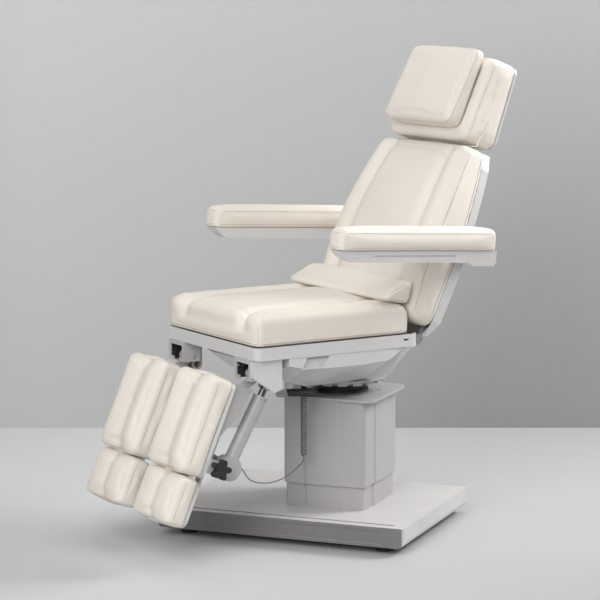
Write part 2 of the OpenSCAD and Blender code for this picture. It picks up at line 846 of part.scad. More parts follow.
module lock_lever() {
    color(dark) on_axis() translate([lever_at[0], lever_at[1], lever_z]) {
        cylinder(h = pan_floor + lever_boss / 3 - lever_z, r = lever_pin_r);
        rotate([0, 90, lever_turn]) {
            translate([0, 0, -lever_rib_t]) cylinder(h = lever_len / 2, r = lever_grip_r - 2);
            for (z = lever_ribs)
                translate([0, 0, z]) cylinder(h = lever_rib_t, r = lever_grip_r - 1);
            translate([0, 0, lever_len / 2 - lever_rib_t]) cylinder(h = lever_len / 2 + lever_rib_t - lever_grip_r / 2, r = lever_grip_r);
            translate([0, 0, lever_len - lever_grip_r / 2]) cylinder(h = lever_grip_r / 2, r1 = lever_grip_r, r2 = lever_grip_r / 2);
        }
    }
}
module seat_cushion() {
    color(leather) on_axis() translate([0, (seat_back - seat_front) / 2, seat_z])
        cushion(seat_w, seat_w, seat_front + seat_back, seat_t, seat_t, seat_edge, seat_edge, seat_rear_edge, seat_crown, draw_in,
            [-channel_share, channel_share], seat_channel, channel_wide, cushion_tops, cushion_mids);
}
seat_edge = 24;
seat_rear_edge = 48;
cushion_tops = 25;
cushion_mids = 6;
draw_in = 5;
channel_wide = 14;
module hinge_pins() {
    color(steel) on_axis() {
        translate([0, tilt_y, tilt_z]) bar_x(-pin_len / 2, pin_len / 2, pin_r);
        side_pair() {
            translate([hinge_x, back_y, back_z]) bar_x(-pin_len / 2, pin_len / 2, pin_r);
            translate([hinge_x, -leg_y, leg_z]) bar_x(-pin_len / 2, pin_len / 2, pin_r);
        }
    }
}
clevis_in = eye_half + 2;
lip_slot = 17;
module leg_hinge_blocks() {
    x0 = hinge_x - block_half;
    x1 = hinge_x + block_half;
    color(paint) on_axis() side_pair() difference() {
        union() {
            block([x0, -block_front, block_low], [x1, -block_rear, rim_z]);
            for (x = [-clevis_in - clevis_t, clevis_in])
                along_x(drive_x + x, drive_x + x + clevis_t) {
                    translate([drive_up_y - leg_y, leg_z - drive_up_z]) circle(clevis_r);
                    translate([drive_up_y - leg_y - clevis_r, leg_z - drive_up_z]) square([2 * clevis_r, rim_z - leg_z + drive_up_z]);
                }
            block([drive_x - clevis_in - clevis_t, -block_rear - over, rim_z - block_wall],
                [drive_x + clevis_in + clevis_t, drive_up_y - leg_y + clevis_r, rim_z]);
        }
        block([x0 + block_wall, block_wall / 2 - block_front, block_low - over], [x1 - block_wall, -block_rear - block_back, rim_z - block_wall]);
        block([x0 + block_wall + hull_join, -block_front - over, leg_z], [x1 - block_wall - hull_join, -leg_y, leg_z + window_h]);
        block([hinge_x - lip_slot, -block_front - over, block_low - over], [hinge_x + lip_slot, -leg_y, leg_z + over]);
        translate([0, -leg_y, leg_z]) bar_x(x0 - over, x1 + over, pin_r + fit);
        translate([0, drive_up_y - leg_y, leg_z - drive_up_z])
            bar_x(drive_x - clevis_in - clevis_t - over, drive_x + clevis_in + clevis_t + over, cross_pin_r + hook_play);
        block([drive_x - clevis_in, -block_rear + over - clevis_r, block_low - clevis_r - over],
            [drive_x + clevis_in, drive_up_y - leg_y + clevis_r + over, rim_z - block_wall]);
        translate([0, -leg_y + latch_at[0], leg_z + latch_at[1]]) bar_x(x0 - over, x0 + block_wall + over, latch_pin_r + fit);
    }
}
latch_at = [-20, 27];
latch_pin_r = 3;
latch_t = 10;
latch_len = 16;
module latch(s) {
    x0 = hinge_x - block_half + block_wall + clear;
    color(steel) on_side(s) translate([0, -leg_y + latch_at[0], leg_z + latch_at[1]]) {
        bar_x(x0 - block_wall, x0 + over, latch_pin_r);
        along_x(x0, x0 + latch_t) {
            circle(2 * latch_pin_r);
            translate([-latch_len, -latch_pin_r]) square([latch_len, 2 * latch_pin_r]);
        }
    }
}
module latch_right() {
    latch(1);
}
module latch_left() {
    latch(-1);
}
cover_gap_x = 0.4;
cover_t = 16;
cover_rows = [[-471, 596], [-372, 596], [-372, 509], [-400, 500], [-430, 520], [-471, 548]];
module leg_hinge_covers() {
    color(shell_white) on_axis() side_pair()
        along_x(hinge_x + block_half + cover_gap_x, hinge_x + block_half + cover_gap_x + cover_t) polygon(cover_rows);
}
motor_span = [-270, -160];
motor_tube_end = 40;
module back_drive() {
    color(dark) on_axis() translate([drive_mid_x, 0, drive_mid_z]) {
        along_y(motor_span[0], motor_span[1]) circle(motor_r);
        along_y(motor_span[1] - over, motor_tube_end) circle(motor_tube_r);
    }
}

// Cord: gland, coiled part, free lead
module cord_gland() {
    color(dark) on_axis() translate([gland_x, gland_y, pan_floor - gland_len]) {
        cylinder(h = gland_len, r = gland_r);
        translate([0, 0, gland_len - hull_join]) cylinder(h = hull_join, r = gland_r + hull_join);
    }
}
curl_r = (curl_d - cord_d) / 2;
curl_rings = 8;
curl_sides = 6;
gland_low = pan_floor - gland_len;
curl_path = concat(
    [[gland_x, gland_y, gland_low], [gland_x, gland_y, gland_low - cord_d]],
    [
        for (i = [0:curls * curl_rings])
            let (s = i / (curls * curl_rings), a = 360 * i / curl_rings, k = min(1, i / curl_rings * 2, (curls * curl_rings - i) / curl_rings * 2))
                [gland_x + curl_r * k * cos(a), gland_y + curl_r * k * sin(a), mix(curl_top, curl_low, s)]
    ],
    [[gland_x, gland_y, curl_end + cord_d], [gland_x, gland_y, curl_end]]
);
curl_gap = min([
    for (i = [0:len(curl_path) - 1], j = [i + 6:1:min(i + 12, len(curl_path) - 1)]) norm(curl_path[i] - curl_path[j])
]) - cord_d;
echo("least gap between curls", curl_gap);
module curly_cord() {
    color(shell_white) on_axis() skin(tube_rings(curl_path, cord_d / 2, curl_sides, [1, 0, 0]));
}
lead_sides = 8;
lead_steps = 2;
module lead_cord() {
    color(shell_white) on_axis() skin(tube_rings(curve_through(lead_points, lead_steps), cord_d / 2, lead_sides, [1, 0, 0]));
}

// Leg rests
rear_edge = [[-16, -47], [-28.5, -91], [-24, -126], [-40, -150], [-66, -205]];
neck_rows = [
    [-13, 0], [13, 0], [13, -10], [-12, -50], [-14, -75], [-60, -75], [-60, -48], [-32, -48], [-13, -20]
];
module leg_arm(s) {
    front = -shell_back;
    color(paint) on_leg(s) difference() {
        union() {
            along_x(arm_x0, arm_x1) polygon(concat(
                [[front, -calf_top]], rear_edge, [[rear_edge[4][0], -sleeve_z], [front, -sleeve_z]]
            ));
            along_x(hinge_x - neck_half + clear, hinge_x + neck_half - clear) polygon(neck_rows);
            bar_x(hinge_x - 2 * neck_half, hinge_x + 2 * neck_half, neck_r);
            block([sleeve_x0, front, -sleeve_z - sleeve_half], [sleeve_x1, -sleeve_back, -sleeve_z + sleeve_half]);
            along_x(bar_x1 - lug_t, bar_x1) polygon([
                [-sleeve_back - over, -sleeve_z - sleeve_half], [drive_low_y, -drive_low_z - lug_r],
                [drive_low_y + lug_r, -drive_low_z], [drive_low_y, -drive_low_z + lug_r],
                [-sleeve_back - over, -sleeve_z + sleeve_half + lug_r]
            ]);
            translate([0, drive_low_y, -drive_low_z]) bar_x(bar_x1 - lug_t, drive_x, stub_r);
        }
        bar_x(hinge_x - pin_len, hinge_x + pin_len, pin_r + fit);
        block([bar_x0 - clear, -bar_y - bar_t / 2 - clear, -sleeve_z - leg_w], [bar_x1 + clear, -bar_y + bar_t / 2 + clear, -sleeve_z + leg_w / 2]);
        translate([0, -bar_y, -sleeve_z]) bar_x(bar_x1, sleeve_x1 + over, knob_stud_r + fit);
    }
}
lug_t = 5;
lug_r = 16;
module leg_arm_right() {
    leg_arm(1);
}
module leg_arm_left() {
    leg_arm(-1);
}
module leg_panel(top, low, back, wall) {
    translate([leg_mid, 0, -(top + low) / 2]) rotate([90, 0, 0]) translate([0, 0, back - wall])
        linear_extrude(wall) rounded(leg_w - 2 * shell_in, low - top, shell_round);
}
module calf_shell(s) {
    color(shell_white) on_leg(s) leg_panel(calf_top, calf_low, calf_back, leg_shell_t);
}
module calf_shell_right() {
    calf_shell(1);
}
module calf_shell_left() {
    calf_shell(-1);
}
leg_edge = 24;
toe_edge = 16;
module calf_cushion(s) {
    color(leather) on_leg(s) translate([leg_mid, -calf_back, -(calf_top + calf_low) / 2]) rotate([90, 0, 0])
        cushion(leg_w, leg_w, calf_len, calf_t, calf_t, leg_edge, leg_edge, leg_edge, calf_crown, draw_in,
            [0], calf_channel + calf_crown, calf_wide, 13, 5);
}
calf_wide = 26;
module calf_cushion_right() {
    calf_cushion(1);
}
module calf_cushion_left() {
    calf_cushion(-1);
}
module foot_shell(s) {
    color(shell_white) on_leg(s) leg_panel(foot_top + hull_join, foot_low, calf_back, leg_shell_t);
}
module foot_shell_right() {
    foot_shell(1);
}
module foot_shell_left() {
    foot_shell(-1);
}
module foot_cushion(s) {
    color(leather) on_leg(s) translate([leg_mid, -calf_back, -(foot_top + foot_low) / 2]) rotate([90, 0, 0])
        cushion(leg_w, leg_w, foot_len, toe_t, toe_t, toe_edge, toe_edge, toe_edge, calf_crown / 2, draw_in / 2,
            [0], calf_channel / 2, calf_wide / 2, 13, 3);
}
module foot_cushion_right() {
    foot_cushion(1);
}
module foot_cushion_left() {
    foot_cushion(-1);
}
bar_foot = 30;
module guide_bar(s) {
    low = foot_low - shell_round + clear;
    color(steel) on_leg(s) {
        block([bar_x0, -bar_y - bar_t / 2, -low], [bar_x1, -bar_y + bar_t / 2, -bar_top]);
        block([bar_x0, -shell_back, -low], [bar_x1, -bar_y, -low + bar_foot]);
    }
}
module guide_bar_right() {
    guide_bar(1);
}
module guide_bar_left() {
    guide_bar(-1);
}
lobe_r = 8.5;
module star_knob(s) {
    lobe_at = knob_r - lobe_r;
    color(dark) on_leg(s) translate([0, -bar_y, -sleeve_z]) {
        bar_x(bar_x1 + 2 * clear, sleeve_x1 + 2, knob_stud_r);
        along_x(sleeve_x1 + clear, sleeve_x1 + clear + knob_t) {
            circle(lobe_at - lobe_r / 2);
            for (i = [0:knob_lobes - 1])
                rotate(90 + 360 * i / knob_lobes) {
                    translate([lobe_at, 0]) circle(lobe_r);
                    translate([0, -lobe_r]) square([lobe_at, 2 * lobe_r]);
                }
        }
    }
}
module star_knob_right() {
    star_knob(1);
}
module star_knob_left() {
    star_knob(-1);
}

// Leg drives
seal_at = 150;
module drive_tube(s) {
    tip = lead_points[len(lead_points) - 1];
    color(shell_white) {
        on_drive(s) difference() {
            union() {
                bar_x(-housing_w / 2, housing_w / 2, housing_r);
                cylinder(h = tube_end, r = drive_r);
                for (z = ring_at)
                    translate([0, 0, z]) cylinder(h = ring_t, r = drive_r + ring_proud);
                translate([0, 0, tube_end - seal_t]) cylinder(h = seal_t, r = drive_r + seal_proud - 1);
            }
            translate([0, 0, rod_hold - 2 * over]) cylinder(h = drive_span, r = rod_r + fit);
            bar_x(-housing_w, clear, stub_r + fit);
        }
        if (s > 0)
            on_side(s) translate([drive_x, tip[1], tip[2]]) rotate([90, 0, 0]) cylinder(h = 2 * nipple_len, r = nipple_r);
    }
}
module drive_tube_right() {
    drive_tube(1);
}
module drive_tube_left() {
    drive_tube(-1);
}
module drive_rod(s) {
    color(dark) on_drive(s) {
        translate([0, 0, rod_hold]) cylinder(h = drive_span - rod_hold, r = rod_r - clear);
        translate([-drive_x, 0, drive_span]) {
            bar_x(drive_x - eye_half, drive_x + eye_half, eye_r);
            bar_x(drive_x - clevis_in - clevis_t, drive_x + clevis_in + clevis_t, cross_pin_r);
        }
    }
}
module drive_rod_right() {
    drive_rod(1);
}
module drive_rod_left() {
    drive_rod(-1);
}

// Backrest
bars_x = [75, 105];
bars_y = [4, 16];
cross_z = [50, 90];
bars_short = 12;
bars_top = back_len - bars_short;
post_guide_h = 25;
post_guide_z = [bars_top - post_guide_h, bars_top];
shaft_arm_z = 16;
module back_frame() {
    color(steel) on_back() difference() {
        union() {
            for (s = [0, 1]) mirror([s, 0, 0]) {
                bar_x(hinge_x - leaf_half, hinge_x + leaf_half, leaf_r);
                block([hinge_x - leaf_half, board_y + clear, 0], [hinge_x + leaf_half, leaf_r, cross_z[1]]);
                block([-over, bars_y[0], cross_z[0]], [hinge_x, bars_y[1], cross_z[1]]);
                block([bars_x[0], bars_y[0], cross_z[0]], [bars_x[1], bars_y[1], bars_top]);
                block([bars_x[0], bars_y[0], arm_up - shaft_arm_z], [bars_x[1], arm_shaft_y + arm_shaft_r, arm_up + shaft_arm_z]);
            }
            translate([0, arm_shaft_y, arm_up]) bar_x(-arm_in + shaft_short, arm_in - shaft_short, arm_shaft_r);
            block([-bars_x[0] - over, head_post_y - head_post_t, post_guide_z[0]], [bars_x[0] + over, head_post_y + head_post_t, post_guide_z[1]]);
        }
        translate([0, 0, 0]) bar_x(-seat_w, seat_w, pin_r + fit);
        for (s = [-1, 1])
            block([s * head_post_x - head_post_w / 2 - clear, head_post_y - head_post_t / 2 - clear, post_guide_z[0] - over],
                [s * head_post_x + head_post_w / 2 + clear, head_post_y + head_post_t / 2 + clear, post_guide_z[1] + over]);
    }
}
shaft_short = 6;
shell_side = 6;
shell_low = 16;
shell_top = back_len - shell_side;
shell_skin = 4;
shell_steps = 12;
shell_flat_share = 0.72;
shell_low_less = 18;
shell_hip = 6;
shell_hip_share = 0.3;
// Shell sections: at each height the half width, the rim's depth and the depth of the middle
function shell_rise(u) = sin(180 * min(1, max(0, u)));
module shell_body(inset) {
    skin([
        for (i = [0:shell_steps])
            let (
                u = i / shell_steps,
                z = mix(shell_low, shell_top, u) + (i == 0 ? inset : i == shell_steps ? -inset : 0),
                corner = i == 0 || i == shell_steps ? pan_corner / 2 : 0,
                half = back_w_at(z) / 2 - shell_side - inset - corner,
                front = inset > 0 ? -pan_corner : back_rim + soft_clear,
                low = i == 0 ? shell_low_less : 0,
                rim = back_rim + back_shell_t + shell_hip * shell_rise(u / shell_hip_share / 2) - low - inset,
                mid = rim + back_shell_belly * shell_rise(u)
            )
                [
                    [-half, front, z], [-half, rim, z], [-half * shell_flat_share, mid, z],
                    [half * shell_flat_share, mid, z], [half, rim, z], [half, front, z]
                ]
    ]);
}
module back_shell() {
    color(shell_white) on_back() difference() {
        shell_body(0);
        shell_body(shell_skin);
        translate([0, arm_shaft_y, arm_up]) bar_x(-seat_w, seat_w, arm_shaft_r + clear);
        for (s = [-1, 1])
            block([s * head_post_x - head_post_w / 2 - clear, head_post_y - head_post_t / 2 - clear, post_guide_z[0]],
                [s * head_post_x + head_post_w / 2 + clear, head_post_y + head_post_t / 2 + clear, back_len]);
        for (s = [-1, 1])
            block([s * hinge_x - leaf_half - hull_join, -leaf_r, 0], [s * hinge_x + leaf_half + hull_join, leaf_r + hull_join, cross_z[0]]);
    }
}
back_edge = 34;
back_low_edge = 60;
back_crown = 12;
module back_cushion() {
    l = back_len - back_low;
    color(leather) on_back() translate([0, board_y, back_low + l / 2]) rotate([90, 0, 0]) skin([
        for (q = stations(l, back_low_edge, back_edge, 7))
            let (z = q[0] + back_low + l / 2)
                cushion_ring(q[0], q[1], q[2], back_w_at(z), l, back_t_at(z), back_edge, back_crown, draw_in,
                    [-channel_share, channel_share], back_channel, channel_wide, cushion_tops,
                    back_rim - board_y, z < hollow_low_z ? hollow_low : hollow_half)
    ]);
}

// Armrests
hub_x = [back_w_mid / 2 - shell_side, 276.5, 290];
hub_r = 24;
hub_neck_r = 14;
module arm_hub(s) {
    color(dark) on_arm(s) difference() {
        union() {
            bar_x(hub_x[0] + clear, hub_x[1] + over, hub_neck_r);
            bar_x(hub_x[1], hub_x[2], hub_r);
        }
        bar_x(0, arm_in, arm_shaft_r + fit);
    }
}
module arm_hub_right() {
    arm_hub(1);
}
module arm_hub_left() {
    arm_hub(-1);
}
bracket_rows = [
    [-541, 28], [-522, 10], [-498, -5], [-90, -7.5], [-75, -10], [-65, -17.7], [10, -17.7], [18, -8], [19, 28]
];
bracket_in = 10;
groove_y = [-420, -130];
groove_z = 12;
barrel_r = 17.5;
arm_clear = 1;
module arm_bracket(s) {
    color(shell_white) on_arm(s) difference() {
        union() {
            along_x(arm_in + bracket_in, arm_in + arm_w - bracket_in) polygon(bracket_rows);
            bar_x(hub_x[2] + arm_clear, arm_in + bracket_in + over, barrel_r);
        }
        bar_x(0, arm_in - shaft_short / 2, arm_shaft_r + fit);
        block([arm_in + arm_w - bracket_in - hull_join, groove_y[0], groove_z - hull_join], [arm_in + arm_w, groove_y[1], groove_z + hull_join]);
    }
}
module arm_bracket_right() {
    arm_bracket(1);
}
module arm_bracket_left() {
    arm_bracket(-1);
}
arm_front = -547;
arm_base = 28;
arm_edge = 20;
module arm_pad(s) {
    color(leather) on_arm(s) translate([arm_in + arm_w / 2, arm_front + arm_len / 2, arm_base])
        cushion(arm_w, arm_w, arm_len, arm_t - arm_rise, arm_t - arm_rise, arm_edge, arm_edge + arm_rise, arm_edge, arm_rise, arm_rise / 2, [], 0, 1, 5, 3);
}
arm_rise = 6;
module arm_pad_right() {
    arm_pad(1);
}
module arm_pad_left() {
    arm_pad(-1);
}

// Lumbar cushion: a soft wedge between seat and back
lumbar_shares = [
    [-0.93, -0.76], [-0.98, -0.58], [-0.80, -0.30], [0.55, 0.88], [0.80, 1],
    [0.98, 0.80], [0.75, -0.62], [0.66, -0.92], [-0.2, -0.98]
];
lumbar_up = 150;
lumbar_sink = 6.3;
lumbar_rest = 0.8;
rest_share = 0.53;
lumbar_rear = turned([0, -back_front - back_crown + lumbar_sink, lumbar_up], -back_lean) + back_hinge;
lumbar_mid = [
    lumbar_rear[1] - lumbar_shares[5][0] * lumbar_d / 2,
    seat_z + seat_t + seat_crown * rest_share + lumbar_rest + lumbar_h / 2
];
lumbar_end_shares = [
    [0, 0.7], [0.02, 0.88], [0.06, 0.97], [0.14, 1], [0.5, 1], [0.86, 1], [0.94, 0.97], [0.98, 0.88], [1, 0.7]
];
module lumbar_cushion() {
    color(leather) on_axis() skin([
        for (e = lumbar_end_shares)
            [for (p = lumbar_shares) [
                mix(-lumbar_w / 2, lumbar_w / 2, e[0]),
                lumbar_mid[0] + e[1] * p[0] * lumbar_d / 2,
                lumbar_mid[1] + e[1] * p[1] * lumbar_h / 2
            ]]
    ]);
}

// Headrest
post_len = 214;
post_top = head_pin_z + head_pin_r;
post_low = post_top - post_len;
stub_out = 84.5;
head_pin_stub_r = 6;
lug_x = [77, 85];
head_slope = 4;
head_plate_t = 7;
head_base_y = 52;
recess_half = 86;
recess_len = 93;
recess_top = head_up + recess_len;
head_edge = 30;
module head_posts() {
    color(chrome) on_back() {
        for (s = [-1, 1]) {
            block([s * head_post_x - head_post_w / 2, head_post_y - head_post_t / 2, post_low], [s * head_post_x + head_post_w / 2, head_post_y + head_post_t / 2, post_top]);
            block([s * head_post_x - head_post_w / 2, head_post_y, head_pin_z - head_pin_r], [s * head_post_x + head_post_w / 2, head_pin_y, post_top]);
        }
        translate([0, head_pin_y, head_pin_z]) {
            bar_x(clear - lug_x[0], lug_x[0] - clear, head_pin_r);
            bar_x(-stub_out, stub_out, head_pin_stub_r);
        }
    }
}
module on_head() {
    on_back() translate([0, head_base_y, head_up]) rotate([90 + head_slope, 0, 0]) children();
}
module head_shell() {
    color(shell_white) difference() {
        union() {
            on_head() translate([0, head_len / 2, -head_plate_t]) linear_extrude(head_plate_t)
                rounded(head_w - 2 * head_plate_t, head_len - 2 * head_plate_t, pan_corner);
            for (s = [0, 1])
                on_back() mirror([s, 0, 0]) block([lug_x[0], head_pin_y - head_pin_r - head_pin_stub_r, head_pin_z - head_pin_r - head_pin_stub_r],
                    [lug_x[1], head_base_y, head_pin_z + head_pin_r + head_pin_stub_r]);
        }
        on_back() block([-lug_x[0] + clear, -head_len, 0], [lug_x[0] - clear, head_len, recess_top]);
        on_back() translate([0, head_pin_y, head_pin_z]) bar_x(-head_w, head_w, head_pin_stub_r + fit);
    }
}
module head_cushion() {
    color(leather) difference() {
        on_head() translate([0, head_len / 2, 0])
            cushion(head_w, head_w, head_len, head_t - head_rise, head_t - head_top_less - head_rise, head_edge, head_edge, head_edge, head_rise, draw_in, [], 0, 1, 7, 4);
        on_back() block([-recess_half, -head_plate_t, head_up - pan_corner], [recess_half, head_len, recess_top]);
    }
}
head_rise = 8;
head_top_less = 27;
pillow_low = 25;
pillow_up = head_up + pillow_low;
pillow_sink = 2.5;
pillow_y = head_base_y - head_t + pillow_sink;
pillow_edge = 22;
pillow_rise = 8;
pillow_top_t = 38;
module head_pillow() {
    color(leather) on_back() translate([0, pillow_y, pillow_up + pillow_len / 2]) rotate([90, 0, 0])
        cushion(pillow_w, pillow_w, pillow_len, pillow_t - pillow_rise, pillow_top_t - pillow_rise, pillow_edge, pillow_edge, pillow_edge / 2, pillow_rise, draw_in,
            [], 0, 1, 7, 4);
}
elastic_r = 1.5;
elastic_out = 3;
elastic_in = 14;
elastic_z = [82, 42, 6, -9.5];
elastic_y = [0, -8, -18, -20];
elastic_x = head_w / 2 + elastic_out;
elastic_points = [
    [elastic_x, elastic_y[0], head_up + elastic_z[0]],
    [elastic_x, elastic_y[1], head_up + elastic_z[1]],
    [elastic_x, elastic_y[2], head_up + elastic_z[2]],
    [elastic_x - elastic_in, elastic_y[3], head_up + elastic_z[3]],
    [0, elastic_y[3], head_up + elastic_z[3]]
];
module pillow_elastic() {
    pts = curve_through(elastic_points, 3);
    color(shell_white) on_back() skin(tube_rings(concat(
        [for (p = pts) p],
        [for (i = [len(pts) - 2:-1:0]) [-pts[i][0], pts[i][1], pts[i][2]]]
    ), elastic_r, 6, [1, 0, 0]));
}

base_cover();
base_frame();
foot_front_right();
foot_front_left();
foot_rear_right();
foot_rear_left();
lower_shroud();
guide_column();
inner_column();
upper_shroud();
top_plate();
turntable_race();
turntable_disc();
tilt_yoke();
lock_lever();
seat_frame();
seat_pan();
seat_cushion();
hinge_pins();
leg_hinge_blocks();
leg_hinge_covers();
back_drive();
cord_gland();
curly_cord();
lead_cord();
latch_right();
latch_left();
leg_arm_right();
leg_arm_left();
calf_shell_right();
calf_shell_left();
calf_cushion_right();
calf_cushion_left();
star_knob_right();
star_knob_left();
foot_shell_right();
foot_shell_left();
foot_cushion_right();
foot_cushion_left();
guide_bar_right();
guide_bar_left();
drive_tube_right();
drive_tube_left();
drive_rod_right();
drive_rod_left();
back_frame();
back_shell();
back_cushion();
arm_hub_right();
arm_hub_left();
arm_bracket_right();
arm_bracket_left();
arm_pad_right();
arm_pad_left();
lumbar_cushion();
head_posts();
head_shell();
head_cushion();
head_pillow();
pillow_elastic();
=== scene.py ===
import bpy, bmesh
from math import sin, cos, pi, radians, exp, sqrt
from mathutils import Vector, Matrix, noise
from mathutils.bvhtree import BVHTree


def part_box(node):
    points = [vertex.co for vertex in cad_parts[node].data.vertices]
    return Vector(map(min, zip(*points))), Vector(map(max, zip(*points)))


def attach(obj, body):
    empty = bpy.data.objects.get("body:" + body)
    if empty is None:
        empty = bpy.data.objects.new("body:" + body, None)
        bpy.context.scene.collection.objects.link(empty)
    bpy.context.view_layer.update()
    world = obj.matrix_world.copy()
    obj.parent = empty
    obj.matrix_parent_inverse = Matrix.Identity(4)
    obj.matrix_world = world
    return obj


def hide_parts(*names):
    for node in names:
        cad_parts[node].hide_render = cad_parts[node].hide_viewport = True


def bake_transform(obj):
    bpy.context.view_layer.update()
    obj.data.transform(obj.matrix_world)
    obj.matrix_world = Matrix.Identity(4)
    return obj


# Lengths are in metres and angles in degrees, unless a name says otherwise.
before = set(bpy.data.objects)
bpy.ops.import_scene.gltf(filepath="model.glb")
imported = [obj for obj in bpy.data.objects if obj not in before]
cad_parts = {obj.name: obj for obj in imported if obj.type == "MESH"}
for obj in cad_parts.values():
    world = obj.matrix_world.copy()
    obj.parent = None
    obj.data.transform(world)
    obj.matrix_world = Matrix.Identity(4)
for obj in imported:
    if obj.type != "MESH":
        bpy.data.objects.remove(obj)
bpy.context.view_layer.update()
scene = bpy.context.scene
noise.seed_set(7)
TINY, WELD = 1e-6, 1e-7


def linked(name, data):
    """A new object in the scene."""
    o = bpy.data.objects.new(name, data)
    scene.collection.objects.link(o)
    return o


def axes_at(x, y, z, at):
    """The frame with these axes at a point."""
    return Matrix((*zip(x, y, z, at), (0, 0, 0, 1)))


# ---------------------------------------------------------------- frames
AX = Vector((0.068, 0.119, 0.0))                   # the column's axis
BASE_TURN = -53.4                                  # the base slab about the column
# each hinge as (y, z), and the rest angle of what hangs on it
LEG_HINGE, LEG_TURN = (-0.430, 0.548), -23.4
BACK_HINGE, BACK_TURN = (0.125, 0.612), -23.5
ARM_SHAFT, ARM_TURN = (0.047, 0.290), -3.6


def rotx(a):
    return Matrix.Rotation(radians(a), 4, "X")


def move(x, y, z):
    return Matrix.Translation((x, y, z))


AXIS = Matrix.Translation(AX)
LEG = AXIS @ move(0, *LEG_HINGE) @ rotx(LEG_TURN)
BACK = AXIS @ move(0, *BACK_HINGE) @ rotx(BACK_TURN)
ARM_PIN = Vector((0, *BACK_HINGE)) + rotx(BACK_TURN) @ Vector((0, *ARM_SHAFT))
ARM = AXIS @ move(0, ARM_PIN.y, ARM_PIN.z) @ rotx(ARM_TURN)

# ---------------------------------------------------------------- camera
CAM_AZ, CAM_EL, CAM_FAR = radians(58.2), radians(8.12), 7.42
CAM_SIDE, CAM_HIGH = -0.126, 0.712
CAM_LENS, CAM_SENSOR, CAM_CLIP = 144.0, 36.0, 60
back = Vector((sin(CAM_AZ) * cos(CAM_EL), -cos(CAM_AZ) * cos(CAM_EL), sin(CAM_EL)))
right = Vector((cos(CAM_AZ), sin(CAM_AZ), 0))
cam_pos = AX + right * CAM_SIDE + Vector((0, 0, CAM_HIGH)) + back * CAM_FAR
cam_data = bpy.data.cameras.new("camera")
cam_data.lens, cam_data.sensor_width, cam_data.sensor_fit = CAM_LENS, CAM_SENSOR, "HORIZONTAL"
cam_data.clip_end = CAM_CLIP
cam = linked("camera", cam_data)
cam.matrix_world = axes_at(right, back.cross(right), back, cam_pos)
scene.camera = cam


# ---------------------------------------------------------------- materials
MIDDLE = 0.3, 0.7                                  # where most of a noise lies


